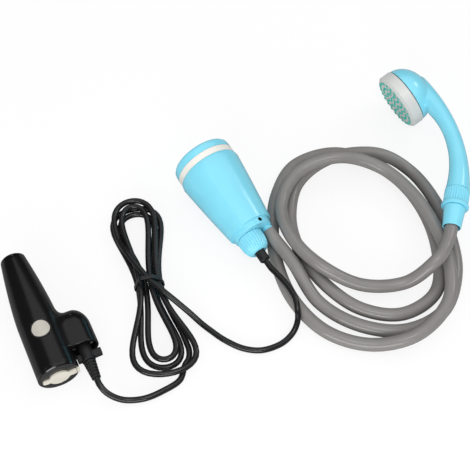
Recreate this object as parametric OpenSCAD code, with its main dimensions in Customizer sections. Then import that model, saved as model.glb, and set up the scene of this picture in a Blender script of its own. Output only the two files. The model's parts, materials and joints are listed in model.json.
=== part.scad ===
// Rechargeable camp shower: a submersible pump, its battery pack, hose and shower head.
// The set lies on a flat floor at z = 0, laid out as for a catalogue view. +Y is away from the viewer.

/* [Battery pack] */
// Length of the pack from end face to nose
pack_len = 131; // [115:1:160]
// Radius of the barrel
barrel_r = 19; // [18:0.5:24]
// Length of the straight part of the barrel
barrel_straight = 56; // [50:1:70]
// Radius of the nose
nose_r = 11.6; // [9:0.1:15]
// Wall of the pack's shells
pack_wall = 2; // [1.5:0.1:2.5]
// Depth of the nose cap
nose_cap_len = 4; // [3:0.5:8]
// Thickness of the end cap
end_cap_t = 3; // [2:0.5:5]
// Radius of the socket pod beside the barrel
pod_r = 14; // [13.5:0.1:15]
// Distance of the pod's axis from the barrel's side
pod_reach = 10; // [9:0.5:11]
// Where the open end of the pod lies along the barrel
pod_start = 18; // [14:1:24]
// Length of the pod
pod_len = 41; // [36:1:50]
// Length of the pod's domed end
pod_dome = 19; // [12:1:22]
// Where the button lies along the barrel
button_at = 41; // [36:1:50]
// Diameter of the button
button_d = 16; // [12:0.5:18]
// Travel of the button
button_travel = 1; // [0.5:0.1:1.2]
// Diameter of the indicator lens
lens_d = 1.6; // [1:0.1:3]
// Diameter of a battery cell
cell_d = 18; // [14:0.5:18.5]
// Length of a battery cell
cell_len = 49; // [40:1:50]
// Diameter of the charge port's cover
cover_d = 18.6; // [15:0.1:20]
// Thickness of the charge port's cover
cover_t = 1.6; // [1:0.1:2.5]
// Length of a pack screw under its head
pack_screw_len = 14; // [10:1:15]

/* [Plug and cord] */
// Diameter of the plug
plug_d = 12.6; // [11:0.2:14]
// Depth of the plug in its socket
plug_depth = 13; // [8:1:16]
// Twice the reach of the plug's wing from its axis
wing_span = 27; // [22:0.5:30]
// Length of the plug's ribbed strain relief
relief_len = 18; // [14:1:26]
// Diameter of the cord
cord_d = 5.6; // [5:0.1:5.8]
// Half length of the hank's inner turn
hank_len = 80; // [78:1:95]
// Step from one turn of the hank to the next
hank_step = 6.8; // [6.7:0.1:7.2]
// Width of the tie round the hank
tie_w = 4; // [3:0.5:6]
// Thickness of the tie
tie_t = 0.8; // [0.6:0.1:1.2]

/* [Pump] */
// Length of the strainer cap
cap_len = 10; // [8:0.5:16]
// Length of the white inlet ring
ring_len = 6.5; // [5:0.5:10]
// Radius of the strainer cap and the inlet ring
cap_r = 30.4; // [29:0.2:31]
// Widest radius of the pump's shell
shell_r = 31.4; // [31:0.2:35]
// Radius of the shell at its shoulder
shoulder_r = 22.6; // [22:0.2:25]
// Length of the shell from the inlet ring to its shoulder
shell_len = 75; // [70:1:100]
// Wall of the pump's shell
shell_wall = 2.2; // [1.8:0.1:2.6]
// Length of the neck past the shoulder
neck_len = 6; // [4:0.5:10]
// Radius of the neck
neck_r = 20; // [19.8:0.1:21]
// Slots round the strainer's base
strainer_slots = 12; // [8:1:16]
// Radius of the motor
motor_r = 9.2; // [8:0.1:9.4]
// Length of the motor
motor_len = 30; // [24:1:34]
// Radius of the motor's shaft
shaft_r = 1.5; // [1:0.1:2]
// Radius of the impeller
impeller_r = 10.5; // [9:0.5:10.5]
// Vanes of the impeller
impeller_vanes = 6; // [4:1:8]
// Distance of the outlet from the pump's axis
outlet_y = 14.2; // [14:0.1:14.4]
// Distance of the cable gland from the pump's axis
gland_y = 5.5; // [5:0.5:6]
// Radius of the gland's cap
gland_r = 13; // [12:0.5:13.5]
// Length of the gland's cap
gland_len = 19; // [18:1:26]
// Radius of the cord bush
bush_r = 5; // [4.5:0.1:5.5]
// Length of the cord bush outside the gland
bush_out = 10; // [6:1:14]

/* [Hose] */
// Outer diameter of the hose
hose_d = 12.5; // [12:0.1:12.5]
// Bore of the hose
hose_bore = 8.6; // [8.4:0.1:9.4]
// Length of hose pushed over each barbed tail
hose_grip = 12; // [9:0.5:12]

/* [Shower head] */
// Radius of the shower face
face_r = 30; // [28:0.5:36]
// Depth of the face plate's rim
face_depth = 12.5; // [11:0.5:16]
// Depth of the dome behind the face plate
dome_depth = 25; // [20:0.5:28]
// Wall of the head's shell
head_wall = 2.2; // [1.8:0.1:2.8]
// Rings of nozzles round the middle one
nozzle_rings = 4; // [2:1:4]
// Distance from one ring of nozzles to the next
nozzle_pitch = 6.2; // [5:0.2:6.2]
// How far a nozzle stands out of the face
nozzle_out = 1; // [0.8:0.1:3]
// Radius that the handle bends to
handle_bend = 151; // [125:1:160]
// Angle that the handle bends through
handle_angle = 45; // [36:1:48]
// Where the handle's bend starts along the face
handle_start = 20; // [16:1:24]
// Radius of the handle at its waist
handle_waist_r = 8; // [7.5:0.1:9]
// Radius of the handle at its hose end
handle_end_r = 11.6; // [11.6:0.1:13]
// Length of the ribbed union nut
nut_len = 18.5; // [18:0.5:24]
// Radius of the nut's flared rim
nut_rim_r = 13; // [12.6:0.1:14.5]
// Ribs round the nut
nut_ribs = 28; // [16:1:32]
// Length of the cone over the hose's end
cone_len = 21; // [19:1:26]

/* [Fits] */
// Running clearance of turning and sliding pieces
running = 0.06; // [0.03:0.01:0.1]
// Clearance between seated pieces
seat = 0.2; // [0.1:0.05:0.3]

/* [Hidden] */
$fn = 64;

// Colours
sky = "#7ecff0";
pearl = "#f2efe8";
black = "#1d1c1d";
rubber_black = "#161616";
silver = "#c8c5bd";
cover_white = "#e6e4d6";
hose_grey = "#7d7a78";
teal = "#2ea59a";
steel = "#b8bcc0";
brass = "#c8a04c";
board_green = "#2f6b45";
cell_blue = "#3f6fb5";

// Small helpers
eps = 0.01;
function unit(v) = v / norm(v);
function smooth_step(x) = let (c = max(0, min(1, x))) c * c * (3 - 2 * c);
function spin_z(p, a) = [p.x * cos(a) - p.y * sin(a), p.x * sin(a) + p.y * cos(a), p.z];
function spin_y(p, a) = [p.x * cos(a) + p.z * sin(a), p.y, p.z * cos(a) - p.x * sin(a)];

module tube(r_out, r_in, h) {
  difference() {
    cylinder(r = r_out, h = h);
    translate([0, 0, -1]) cylinder(r = r_in, h = h + 2);
  }
}

// A smooth curve through hand-placed points, and tubes swept along it
function spline_at(p, i, t) =
  let (a = p[max(i - 1, 0)], b = p[i], c = p[i + 1], d = p[min(i + 2, len(p) - 1)])
  0.5 * (2 * b + (c - a) * t + (2 * a - 5 * b + 4 * c - d) * t * t + (3 * b - a - 3 * c + d) * t * t * t);
function spline(p, steps) =
  concat([for (i = [0 : len(p) - 2]) for (j = [0 : steps - 1]) spline_at(p, i, j / steps)],
    [p[len(p) - 1]]);
function straight_ended(p, steps) =
  concat([p[0]], [for (i = [1 : len(p) - 3]) for (j = [0 : steps - 1]) spline_at(p, i, j / steps)],
    [p[len(p) - 2], p[len(p) - 1]]);
function tangent(p, i) = unit(p[min(i + 1, len(p) - 1)] - p[max(i - 1, 0)]);
function ring_at(c, t, r, sides, up) =
  let (s = unit(cross(t, up)), u = cross(s, t))
  [for (k = [0 : sides - 1]) let (a = 360 * (k + 0.5) / sides) c + r * (cos(a) * s + sin(a) * u)];
function tangents(p) = [for (i = [0 : len(p) - 1]) tangent(p, i)];
function rings(p, r, sides, up, along) =
  [for (i = [0 : len(p) - 1]) each ring_at(p[i], along[i], r[i], sides, up)];
function walls(n, sides, from, flip) =
  [for (i = [0 : n - 2]) for (k = [0 : sides - 1])
    let (a = from + i * sides + k, b = from + i * sides + (k + 1) % sides, c = a + sides, d = b + sides)
    each flip ? [[a, d, b], [a, c, d]] : [[a, b, d], [a, d, c]]];
function fan(sides, from, flip) =
  [for (k = [1 : sides - 2]) flip ? [from, from + k, from + k + 1] : [from, from + k + 1, from + k]];
function collar(sides, outer, inner, flip) =
  [for (k = [0 : sides - 1])
    let (a = outer + k, b = outer + (k + 1) % sides, c = inner + k, d = inner + (k + 1) % sides)
    each flip ? [[a, d, c], [a, b, d]] : [[a, c, d], [a, d, b]]];

// A round bar along points p; r and along hold one radius and one direction for each point
module swept_bar(p, r, sides, along, up = [0, 0, 1]) {
  last = (len(p) - 1) * sides;
  polyhedron(points = rings(p, r, sides, up, along),
    faces = concat(walls(len(p), sides, 0, false), fan(sides, 0, false), fan(sides, last, true)));
}

// A pipe along points p, with outer and inner radii for each point
module swept_pipe(p, r_out, r_in, sides, up = [0, 0, 1]) {
  n = len(p);
  bore = n * sides;
  along = tangents(p);
  polyhedron(points = concat(rings(p, r_out, sides, up, along), rings(p, r_in, sides, up, along)),
    faces = concat(walls(n, sides, 0, false), walls(n, sides, bore, true),
      collar(sides, 0, bore, false), collar(sides, (n - 1) * sides, bore + (n - 1) * sides, true)));
}

function same(value, p) = [for (i = [0 : len(p) - 1]) value];
function pair_gap(p, i, skip) = min([for (j = [i + skip : len(p) - 1]) norm(p[i] - p[j])]);
function self_gap(p, d, skip) = min([for (i = [0 : len(p) - 1 - skip]) pair_gap(p, i, skip)]) - d;
function total(v) = v * [for (x = v) 1];
function path_length(p) = total([for (i = [1 : len(p) - 1]) norm(p[i] - p[i - 1])]);

// Layout of the set on the floor; the routes of hose and cord below are drawn to it
centre_x = 3.76;
centre_y = 5.49;
pack_x = -153;
pack_y = -159;
pack_yaw = 115;
pump_x = -34;
pump_y = 68.6;
pump_yaw = -57.5;
head_x = 165;
head_y = 143.5;
head_yaw = 31.5;
head_lean = 18;
head_rise = 7.5;

// Battery pack, measured along the barrel from its end face
barrel_steps = 12;
nose_at = pack_len - nose_cap_len;
spigot_len = 3;
pod_offset = barrel_r + pod_reach;
pod_drop = barrel_r - pod_r;
pod_end = pod_start + pod_len;
pod_merge = 10;
web_h = 9;
cup_r = pod_reach + 0.2;
cup_depth = 24;
cup_flare = 2.2;
plate_at = pod_start + 4.5;
plate_t = 2;
socket_at = plate_at + plate_t;
socket_flange_t = 2;
socket_r = plug_d / 2 + 1.9;
plug_play = 0.3;
plug_end = socket_at + plug_depth;
socket_end = plug_end + 2;
socket_screw_y = (plug_d / 2 + plug_play + cup_r - seat) / 2;
socket_screw_r = 0.7;
wire_r = 2;
cell_z = -2;
cell_start = 12;
cell_gap = 0.5;
cradle_t = 1.2;
cradle_len = 86;
board_z = cell_z + cell_d / 2 + 0.4;
board_t = 1.2;
board_l = 26;
board_w = 18;
switch_w = 6;
switch_h = 3;
plunger_h = 0.5;
button_foot = board_z + board_t + switch_h + plunger_h + button_travel + 0.15;
button_flange_t = 0.95;
sleeve_t = 1.1;
sleeve_r = button_d / 2 + running + sleeve_t;
lens_x = pod_end - pod_dome / 2;
boss_r = 3.2;
pack_screw_x = [24, 84];
pack_screw_y = cell_d / 2 + boss_r + 0.2;
pack_screw_r = 1;
pack_head_r = 2.1;
pack_head_h = 1.6;
pack_head_z = -9;
port_r = 5;
port_len = 9.6;
port_flange_r = 7;
jack_r = 3.4;
cover_lift = 0.15;
cover_hinge_y = 4 - barrel_r;
cover_stub_r = 2.6;
strap_w = 7;
anchor_y = cover_hinge_y - 1.1;
anchor_w = 2.5;
anchor_depth = 2.5;
web_x = pod_end + pod_reach;
half_span = pod_offset + 2 * pod_r;

// Plug and cord
relief_at = 5;
relief_ribs = 6;
wing_w = 7;
wing_at = 7;
wing_len = 6;
wing_in = pod_reach - 0.8;
wing_mid = (wing_span - wing_w) / 2;
cord_r = cord_d / 2;
hank_x = -82;
hank_y = -60;
hank_yaw = 12.2;
hank_turns = 3.5;
hank_from = 0.15;
hank_to = hank_from + hank_turns;
hank_mid = (hank_from + hank_to) / 2;
hank_waist = 1;
hank_bulge = 34;
upper_narrow = 14;
upper_long = 4;
last_wide = 26;
lower_narrow = 7;
lower_lean = 4;
last_long = 8;
climb_turns = 0.5;
tie_lift = tie_t + 0.5;
tie_play = 0.3;

// Pump, measured along its axis from its base
ring_at_z = cap_len;
shell_at = cap_len + ring_len;
shoulder_at = shell_at + shell_len;
neck_end = shoulder_at + neck_len;
shell_lead = 4;
shoulder_round = 1.5;
taper_len = shell_len - shell_lead - shoulder_round;
pump_tilt = atan((shell_r - shoulder_r) / taper_len);
pump_lift = shell_r * cos(pump_tilt) + (shell_at + shell_lead) * sin(pump_tilt);
skirt_r = cap_r - 3.8;
skirt_in = 4;
skirt_t = 1.8;
base_t = 2.2;
cap_gap = 0.3;
end_wall = 2.5;
suction_t = 2;
eye_r = 6;
volute_at = shell_at + suction_t;
chamber_len = 7.5;
plate_z = volute_at + chamber_len;
chamber_t = 2.5;
motor_at = plate_z + chamber_t;
cup_floor = 2;
can_t = 1;
motor_cup_r = motor_r + 1.4;
motor_play = 0.15;
lid_t = 2;
motor_top = motor_at + cup_floor + motor_len;
seal_r = 4.7;
riser_r = 3.3;
riser_bore = 2.4;
screw_inset = 6.4;
screw_circle = shell_r - screw_inset;
screw_angles = [0, 180, 270];
plate_screw_r = 1.2;
plate_screw_len = 10;
plate_head_r = 2.4;
plate_head_h = 1.8;
head_play = 0.3;
volute_wall = 2.9;
volute_in = screw_circle - plate_head_r - head_play - volute_wall;
shell_boss_r = 3.2;
shell_boss_len = 12;
groove_d = 1.4;
groove_w = 1.6;
collar_len = 4;
collar_r = 5.2;
nipple_r = hose_bore / 2 - 0.1;
nipple_bore = 2.6;
stub_r = 8;
stub_len = 10;
stub_floor = 4;
cord_seal_r = 5.1;
bush_end = neck_end + gland_len + bush_out;
tail_in = 8;
gland_ribs = 40;
vent_r = 1.5;
vent_angle = 158;

// Shower head, measured from the middle of its face
face_edge = 2.5;
face_t = 2;
head_lift = face_r * cos(head_lean) - face_edge * sin(head_lean);
dome_r = face_r - 0.6;
spigot_r = face_r - face_t - seat;
spigot_end = -7.5;
hole_r = 1.7;
nozzle_r = 1.5;
tip_r = 1.25;
ring_turn = 11;
jet_r = 0.55;
mat_t = 1.5;
divider_t = 1.6;
handle_sink = 10;
handle_z = handle_sink - face_depth - dome_depth;
handle_from = -8;
waist_angle = 19;
handle_swell = 6;
handle_steps = 16;
handle_sides = 24;
thread_r = handle_end_r - head_wall - 0.4;
thread_out = 12;
thread_in = 6;
thread_step = 1.2;
nut_gap = 0.3;
water_r = 5;
washer_t = 1.2;
tail_flange_t = 2.3;
tail_at = thread_out + washer_t;
tail_stem_r = hose_d / 2 - 0.1;
hose_start = nut_len + 3.5;
cone_at = nut_len + 0.4;
tail_bore = 2.8;

// Where things stand
module on_floor() { translate([-centre_x, -centre_y, 0]) children(); }
module on_pack() { on_floor() translate([pack_x, pack_y, barrel_r]) rotate([0, 0, pack_yaw]) children(); }
module on_pod() { on_pack() translate([0, -pod_offset, -pod_drop]) rotate([0, 90, 0]) children(); }
module on_hank() { on_floor() translate([hank_x, hank_y, 0]) rotate([0, 0, hank_yaw]) children(); }
module on_pump() {
  on_floor() translate([pump_x, pump_y, pump_lift]) rotate([0, 0, pump_yaw])
    rotate([0, 90 + pump_tilt, 0]) children();
}
module on_outlet() { on_pump() translate([0, outlet_y, 0]) children(); }
module on_gland() { on_pump() translate([0, -gland_y, 0]) children(); }
module on_head() {
  on_floor() translate([head_x, head_y, head_lift]) rotate([0, 0, 180 + head_yaw])
    rotate([0, 90 + head_lean, 0]) rotate([0, 0, 90 + head_rise]) children();
}
module on_nut() {
  on_head() translate(handle_at(handle_angle)) rotate([0, 90 - handle_angle, 0]) children();
}
function pack_point(p) = spin_z(p, pack_yaw) + [pack_x, pack_y, barrel_r];
function pump_point(p) = spin_z(spin_y(p, 90 + pump_tilt), pump_yaw) + [pump_x, pump_y, pump_lift];
function head_point(p) =
  spin_z(spin_y(spin_z(p, 90 + head_rise), 90 + head_lean), 180 + head_yaw) + [head_x, head_y, head_lift];
function handle_at(a) = [handle_start + handle_bend * sin(a), 0, handle_z + handle_bend * (1 - cos(a))];
function nut_point(t) = head_point(handle_at(handle_angle) + t * [cos(handle_angle), 0, sin(handle_angle)]);

// Routes of the cord
function hank_local(t) =
  let (g = hank_step * abs(t - hank_mid), c = cos(360 * t), s = sin(360 * t),
    upper = smooth_step((t - hank_mid) / climb_turns + 0.5),
    last = smooth_step((t - hank_mid) / climb_turns - 0.5),
    wider = c < 0 ? -upper_narrow * upper : last_wide * last - lower_narrow,
    longer = c < 0 ? upper_long * upper : last_long * last,
    lean = c < 0 ? 0 : lower_lean * c * c)
  [lean + s * (hank_waist + g + (hank_bulge + g + wider) * c * c), -(hank_len + g + longer) * c,
    cord_r + tie_lift + hank_step * upper];
function hank_at(t) = spin_z(hank_local(t), hank_yaw) + [hank_x, hank_y, 0];
hank_rings = 48 * hank_turns;
hank_path = [for (i = [0 : hank_rings]) hank_at(hank_from + hank_turns * i / hank_rings)];
relief_end = pack_point([relief_at - relief_len, -pod_offset, -pod_drop]);
relief_run = pack_point([relief_at - relief_len - cord_d, -pod_offset, -pod_drop]);
pack_lead = concat([relief_end, relief_run],
  [[-113, -170, 11], [-104, -174, 7], [-93, -175, 4], [-78, -173, 4], [-63, -166, 4], [-49, -156, 4]],
  [for (back = [0.1, 0.07, 0.04, 0]) hank_at(hank_from - back)]);
pump_lead = concat([hank_at(hank_to), hank_at(hank_to + 0.01)],
  [[-107.5, -22, 13.6], [-102, -31, 16.8], [-95, -41, 17.6], [-88, -50, 17.6], [-79, -61, 17.6],
    [-68, -71, 17.6], [-56, -80, 14], [-42, -90, 8], [-31, -99, 4], [-21, -107, 3], [-9, -116, 3],
    [7, -124, 3], [24, -126, 3], [41, -120, 3], [52, -110, 4], [57, -100, 9], [57, -91, 15.5],
    [55, -80, 18], [49, -68, 18], [42, -58, 17.5]],
  [pump_point([0, -gland_y, bush_end + 1.5 * cord_d]), pump_point([0, -gland_y, bush_end])]);

// Route of the hose
hose_route = concat([pump_point([0, outlet_y, neck_end + collar_len]),
    pump_point([0, outlet_y, neck_end + collar_len + hose_d])],
  [[55, -43, 17], [77, -78, 7], [112, -102, 7], [154, -108, 7], [191, -89, 7], [208, -50, 7], [208, -8, 7],
    [198, 34, 7], [177, 70, 9], [143, 84, 20.5], [97, 79, 20.5], [64, 58, 9], [54, 17, 7], [62, -23, 7],
    [83, -58, 7], [115, -85, 7], [154, -91, 7], [187, -68, 7], [194, -27, 7], [188, 15, 7], [170, 53, 7],
    [140, 83, 7], [100, 95, 7], [61, 80, 7], [42, 45, 7], [36.5, 4, 6.5], [40, -37, 6.5], [55, -78, 7],
    [84, -110, 7], [124, -123, 8], [164, -117, 17], [194, -86, 21], [200, -44, 20], [191, -3, 20.5],
    [173, 35, 21], [144, 65, 23], [103, 71, 32], [63, 59, 24], [45, 23, 19], [54, -18, 23], [80, -49, 23],
    [118, -63, 12], [159, -61, 13], [186, -48, 32], [198, -29, 34]],
  [nut_point(hose_start + hose_d), nut_point(hose_start)]);
hose_path = straight_ended(hose_route, 2);

echo("least gap of the hank to itself", self_gap(hank_path, cord_d, 16));
echo("least gap of the hose to itself", self_gap(straight_ended(hose_route, 6), hose_d, 24));
echo("length of the hose", path_length(hose_path));
echo("length of the cord", path_length(straight_ended(pack_lead, 3)) + path_length(hank_path)
  + path_length(straight_ended(pump_lead, 3)));

// Shapes used by more than one piece of the battery pack
function barrel_radius(x) = x <= barrel_straight ? barrel_r
  : barrel_r - (barrel_r - nose_r) * pow((x - barrel_straight) / (pack_len - barrel_straight), 1.5);

module barrel(inset, from, to) {
  bend = [for (i = [0 : barrel_steps]) barrel_straight + (to - barrel_straight) * i / barrel_steps];
  rotate([0, 90, 0]) rotate_extrude() polygon(concat([[0, from], [barrel_r - inset, from]],
    [for (x = bend) [barrel_radius(x) - inset, x]], [[0, to]]));
}

// The pod: a round nose and its copy sunk in the barrel, with the space between them filled
module pod() {
  arc = [for (a = [0 : 10 : 90]) [pod_end - pod_dome * (1 - sin(a)), pod_r * cos(a)]];
  for (y = [pod_offset, pod_offset - pod_merge])
    translate([0, -y, -pod_drop]) rotate([0, 90, 0]) rotate_extrude()
      polygon(concat([[0, pod_start], [pod_r, pod_start]], [for (q = arc) [q.y, q.x]]));
  translate([0, -pod_offset, -pod_drop]) rotate([-90, 0, 0]) linear_extrude(pod_merge)
    polygon(concat([[pod_start, -pod_r], [pod_start, pod_r]], arc,
      [for (i = [len(arc) - 2 : -1 : 0]) [arc[i].x, -arc[i].y]]));
}

module pod_cup() {
  translate([pod_start, -pod_offset, -pod_drop]) rotate([0, 90, 0]) {
    translate([0, 0, -eps]) cylinder(r = cup_r, h = cup_depth + eps);
    translate([0, 0, -eps]) cylinder(r1 = pod_r - 1.2, r2 = cup_r, h = cup_flare);
  }
}

// The gusset between the barrel and the pod's nose
module web() {
  side = barrel_radius(web_x);
  translate([0, 0, -pod_drop - web_h / 2]) linear_extrude(web_h) difference() {
    translate([pod_end - pod_dome / 2, -side - pod_reach])
      square([pod_reach + pod_dome / 2, side / 2 + pod_reach]);
    translate([web_x, -side - pod_reach]) circle(pod_reach);
  }
}

module each_pack_screw() {
  for (x = pack_screw_x) for (y = [-pack_screw_y, pack_screw_y]) translate([x, y, 0]) children();
}

module pack_case() {
  difference() {
    union() {
      difference() {
        union() {
          barrel(0, end_cap_t, nose_at);
          pod();
          web();
        }
        barrel(pack_wall, end_cap_t - 1, pack_len);
      }
      intersection() {
        barrel(pack_wall / 2, end_cap_t, nose_at);
        each_pack_screw() translate([0, 0, -barrel_r]) cylinder(r = boss_r, h = 2 * barrel_r);
      }
    }
    pod_cup();
    translate([pod_start + cup_depth - 2 * wire_r, -pod_offset, -pod_drop]) rotate([-90, 0, 0])
      cylinder(r = wire_r, h = pod_offset);
    translate([button_at, 0, board_z]) cylinder(r = sleeve_r + 0.05, h = barrel_r);
    translate([lens_x, -pod_offset, 0]) cylinder(r = lens_d / 2 + 0.05, h = barrel_r);
    each_pack_screw() {
      translate([0, 0, pack_head_z - eps]) cylinder(r = pack_screw_r + 0.1, h = pack_screw_len + 1);
      translate([0, 0, pack_head_z - barrel_r]) cylinder(r = pack_head_r + 0.2, h = barrel_r);
    }
  }
}

// Battery pack pieces
module pack_upper_shell() {
  color(black) on_pack() intersection() {
    pack_case();
    translate([0, -half_span, 0]) cube([pack_len, 2 * half_span, half_span]);
  }
}

module pack_lower_shell() {
  color(black) on_pack() intersection() {
    pack_case();
    translate([0, -half_span, -half_span]) cube([pack_len, 2 * half_span, half_span]);
  }
}

module nose_cap() {
  round = 1.2;
  inner = barrel_radius(nose_at) - pack_wall - seat;
  color(black) on_pack() rotate([0, 90, 0]) rotate_extrude() polygon([[0, nose_at - spigot_len],
    [inner, nose_at - spigot_len], [inner, nose_at], [barrel_radius(nose_at), nose_at],
    [barrel_radius(pack_len - round), pack_len - round], [nose_r - round, pack_len], [0, pack_len]]);
}

module end_cap() {
  edge = 0.8;
  color(black) on_pack() difference() {
    rotate([0, 90, 0]) {
      cylinder(r1 = barrel_r - edge, r2 = barrel_r, h = edge);
      translate([0, 0, edge]) cylinder(r = barrel_r, h = end_cap_t - edge);
      translate([0, 0, end_cap_t]) tube(barrel_r - pack_wall - seat, barrel_r - 2 * pack_wall, spigot_len);
    }
    translate([-1, 0, 0]) rotate([0, 90, 0]) cylinder(r = port_r + 0.1, h = end_cap_t + 2);
    translate([-1, anchor_y - barrel_r, -strap_w / 2 - 0.1])
      cube([anchor_depth + 1.1, barrel_r + 0.1, strap_w + 0.2]);
  }
}

module charge_port() {
  color(rubber_black) on_pack() rotate([0, 90, 0]) difference() {
    union() {
      translate([0, 0, 0.4]) cylinder(r = port_r, h = port_len);
      translate([0, 0, end_cap_t]) cylinder(r = port_flange_r, h = 2);
    }
    translate([0, 0, -1]) cylinder(r = jack_r, h = port_len - 1);
  }
}

module charge_cover() {
  tab_y = cover_d / 2 + 3;
  tab_r = 3;
  color(cover_white) on_pack() translate([-cover_lift, 0, 0]) rotate([0, -90, 0]) {
    cylinder(r = cover_d / 2, h = cover_t);
    translate([-tab_r, 0, 0]) cube([2 * tab_r, tab_y, cover_t]);
    translate([0, tab_y, 0]) cylinder(r = tab_r, h = cover_t);
    translate([-strap_w / 2, cover_hinge_y, 0]) cube([strap_w, -cover_hinge_y, cover_t]);
    translate([-strap_w / 2, cover_hinge_y, cover_t / 2]) rotate([0, 90, 0])
      cylinder(r = cover_t / 2, h = strap_w);
    translate([0, 0, -spigot_len]) cylinder(r = cover_stub_r, h = spigot_len + cover_t);
  }
}

module cover_anchor() {
  color(cover_white) on_pack() translate([-cover_lift - cover_t, anchor_y - anchor_w, -strap_w / 2])
    cube([anchor_depth + cover_lift + cover_t, anchor_w, strap_w]);
}

module power_button() {
  color(silver) on_pack() intersection() {
    translate([button_at, 0, button_foot]) {
      cylinder(r = button_d / 2, h = barrel_r);
      cylinder(r = button_d / 2 + 0.9, h = button_flange_t);
    }
    barrel(-0.4, end_cap_t, nose_at);
  }
}

module button_seal() {
  color(rubber_black) on_pack() intersection() {
    translate([button_at, 0, button_foot + button_flange_t + 0.2])
      tube(sleeve_r, button_d / 2 + running, barrel_r);
    barrel(0, end_cap_t, nose_at);
  }
}

module button_switch() {
  color(rubber_black) on_pack() translate([button_at, 0, board_z + board_t]) {
    translate([-switch_w / 2, -switch_w / 2, 0]) cube([switch_w, switch_w, switch_h]);
    translate([0, 0, switch_h]) cylinder(r = 1.6, h = plunger_h);
  }
}

module control_board() {
  color(board_green) on_pack() translate([button_at - board_l / 2, -board_w / 2, board_z])
    cube([board_l, board_w, board_t]);
}

module battery_cells() {
  color(cell_blue) on_pack() for (k = [0, 1])
    translate([cell_start + k * (cell_len + cell_gap), 0, cell_z]) rotate([0, 90, 0]) {
      cylinder(r = cell_d / 2, h = cell_len - 1);
      cylinder(r = 3, h = cell_len);
    }
}

module cell_cradle() {
  foot_x = [cell_start + cradle_len * 0.07, cell_start + cradle_len * 0.4];
  foot_l = 4;
  bed_r = cell_d / 2 + seat;
  color(pearl) on_pack() difference() {
    union() {
      translate([cell_start, 0, cell_z]) rotate([0, 90, 0]) cylinder(r = bed_r + cradle_t, h = cradle_len);
      intersection() {
        barrel(pack_wall + seat, end_cap_t, nose_at);
        for (x = foot_x) translate([x, -bed_r, -barrel_r]) cube([foot_l, 2 * bed_r, barrel_r + cell_z]);
      }
    }
    translate([0, 0, cell_z]) rotate([0, 90, 0]) cylinder(r = bed_r, h = pack_len);
    translate([0, -barrel_r, cell_z - 1]) cube([pack_len, 2 * barrel_r, 2 * barrel_r]);
    each_pack_screw() translate([0, 0, -barrel_r]) cylinder(r = boss_r + seat, h = 2 * barrel_r);
  }
}

module indicator_lens() {
  top = pod_r * sqrt(1 - pow(0.5, 2)) - pod_drop;
  color(teal) on_pack() translate([lens_x, -pod_offset, 0]) cylinder(r = lens_d / 2, h = top);
}

module socket_plate() {
  color(rubber_black) on_pod() translate([0, 0, plate_at]) difference() {
    cylinder(r = cup_r - seat, h = plate_t);
    translate([0, 0, -1]) cylinder(r = plug_d / 2 + plug_play, h = plate_t + 2);
    for (s = [-1, 1]) translate([0, s * socket_screw_y, -1])
      cylinder(r = socket_screw_r + 0.1, h = plate_t + 2);
  }
}

module socket_screws() {
  color(steel) on_pod() for (s = [-1, 1]) translate([0, s * socket_screw_y, 0]) {
    translate([0, 0, plate_at - 1]) cylinder(r = 1.3, h = 1);
    translate([0, 0, plate_at - eps]) cylinder(r = socket_screw_r, h = plate_t + socket_flange_t);
  }
}

module dc_socket() {
  color(rubber_black) on_pod() difference() {
    union() {
      translate([0, 0, socket_at]) cylinder(r = cup_r - seat, h = socket_flange_t);
      translate([0, 0, socket_at]) cylinder(r = socket_r, h = socket_end - socket_at);
    }
    translate([0, 0, socket_at - 1]) cylinder(r = plug_d / 2 + plug_play, h = plug_end - socket_at + 1.5);
    for (s = [-1, 1]) translate([0, s * socket_screw_y, socket_at - 1])
      cylinder(r = socket_screw_r + 0.1, h = socket_flange_t + 2);
  }
}

module pack_screws() {
  color(steel) on_pack() each_pack_screw() {
    translate([0, 0, pack_head_z - pack_head_h]) cylinder(r = pack_head_r, h = pack_head_h);
    translate([0, 0, pack_head_z - eps]) cylinder(r = pack_screw_r, h = pack_screw_len);
  }
}

// Plug and cord pieces
module plug_body() {
  color(rubber_black) on_pod() {
    translate([0, 0, relief_at]) cylinder(r = plug_d / 2, h = plug_end - relief_at);
    translate([0, 0, wing_at]) linear_extrude(wing_len) {
      translate([-wing_w / 2, -wing_mid]) square([wing_w, wing_mid + wing_in]);
      translate([0, -wing_mid]) circle(wing_w / 2);
    }
  }
}

module strain_relief() {
  pitch = relief_len / relief_ribs;
  groove = 0.8;
  tail_r = cord_r + 1.4;
  root_r = plug_d / 2 - 0.4;
  color(rubber_black) on_pod() rotate_extrude() polygon(concat([[0, relief_at - relief_len]],
    [for (i = [0 : relief_ribs - 1])
      let (z = relief_at - relief_len + i * pitch, r = tail_r + (root_r - tail_r) * i / relief_ribs)
      each [[r, z], [r, z + 0.6 * pitch], [r - groove, z + 0.6 * pitch], [r - groove, z + pitch]]],
    [[0, relief_at]]));
}

module lead_to_pack() {
  path = straight_ended(pack_lead, 3);
  color(black) on_floor() swept_bar(path, same(cord_r, path), 8, tangents(path));
}

module cord_hank() {
  color(black) on_floor() swept_bar(hank_path, same(cord_r, hank_path), 6, tangents(hank_path));
}

module lead_to_pump() {
  path = straight_ended(pump_lead, 3);
  color(black) on_floor() swept_bar(path, same(cord_r, path), 8, tangents(path));
}

// A band round the hank's waist and the lead that crosses it
module tie_outline(grow) {
  strands = [for (k = [0 : 6]) hank_local(hank_from + 0.1 + 0.5 * k)];
  lead_over = cord_r + tie_lift + hank_step + cord_d + 1.1;
  hull() {
    for (s = strands) translate([s.x, s.z]) circle(cord_r + tie_play + grow, $fn = 32);
    for (x = [-tie_w, tie_w]) translate([x, lead_over]) circle(cord_r + tie_play + grow, $fn = 32);
  }
}

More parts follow.
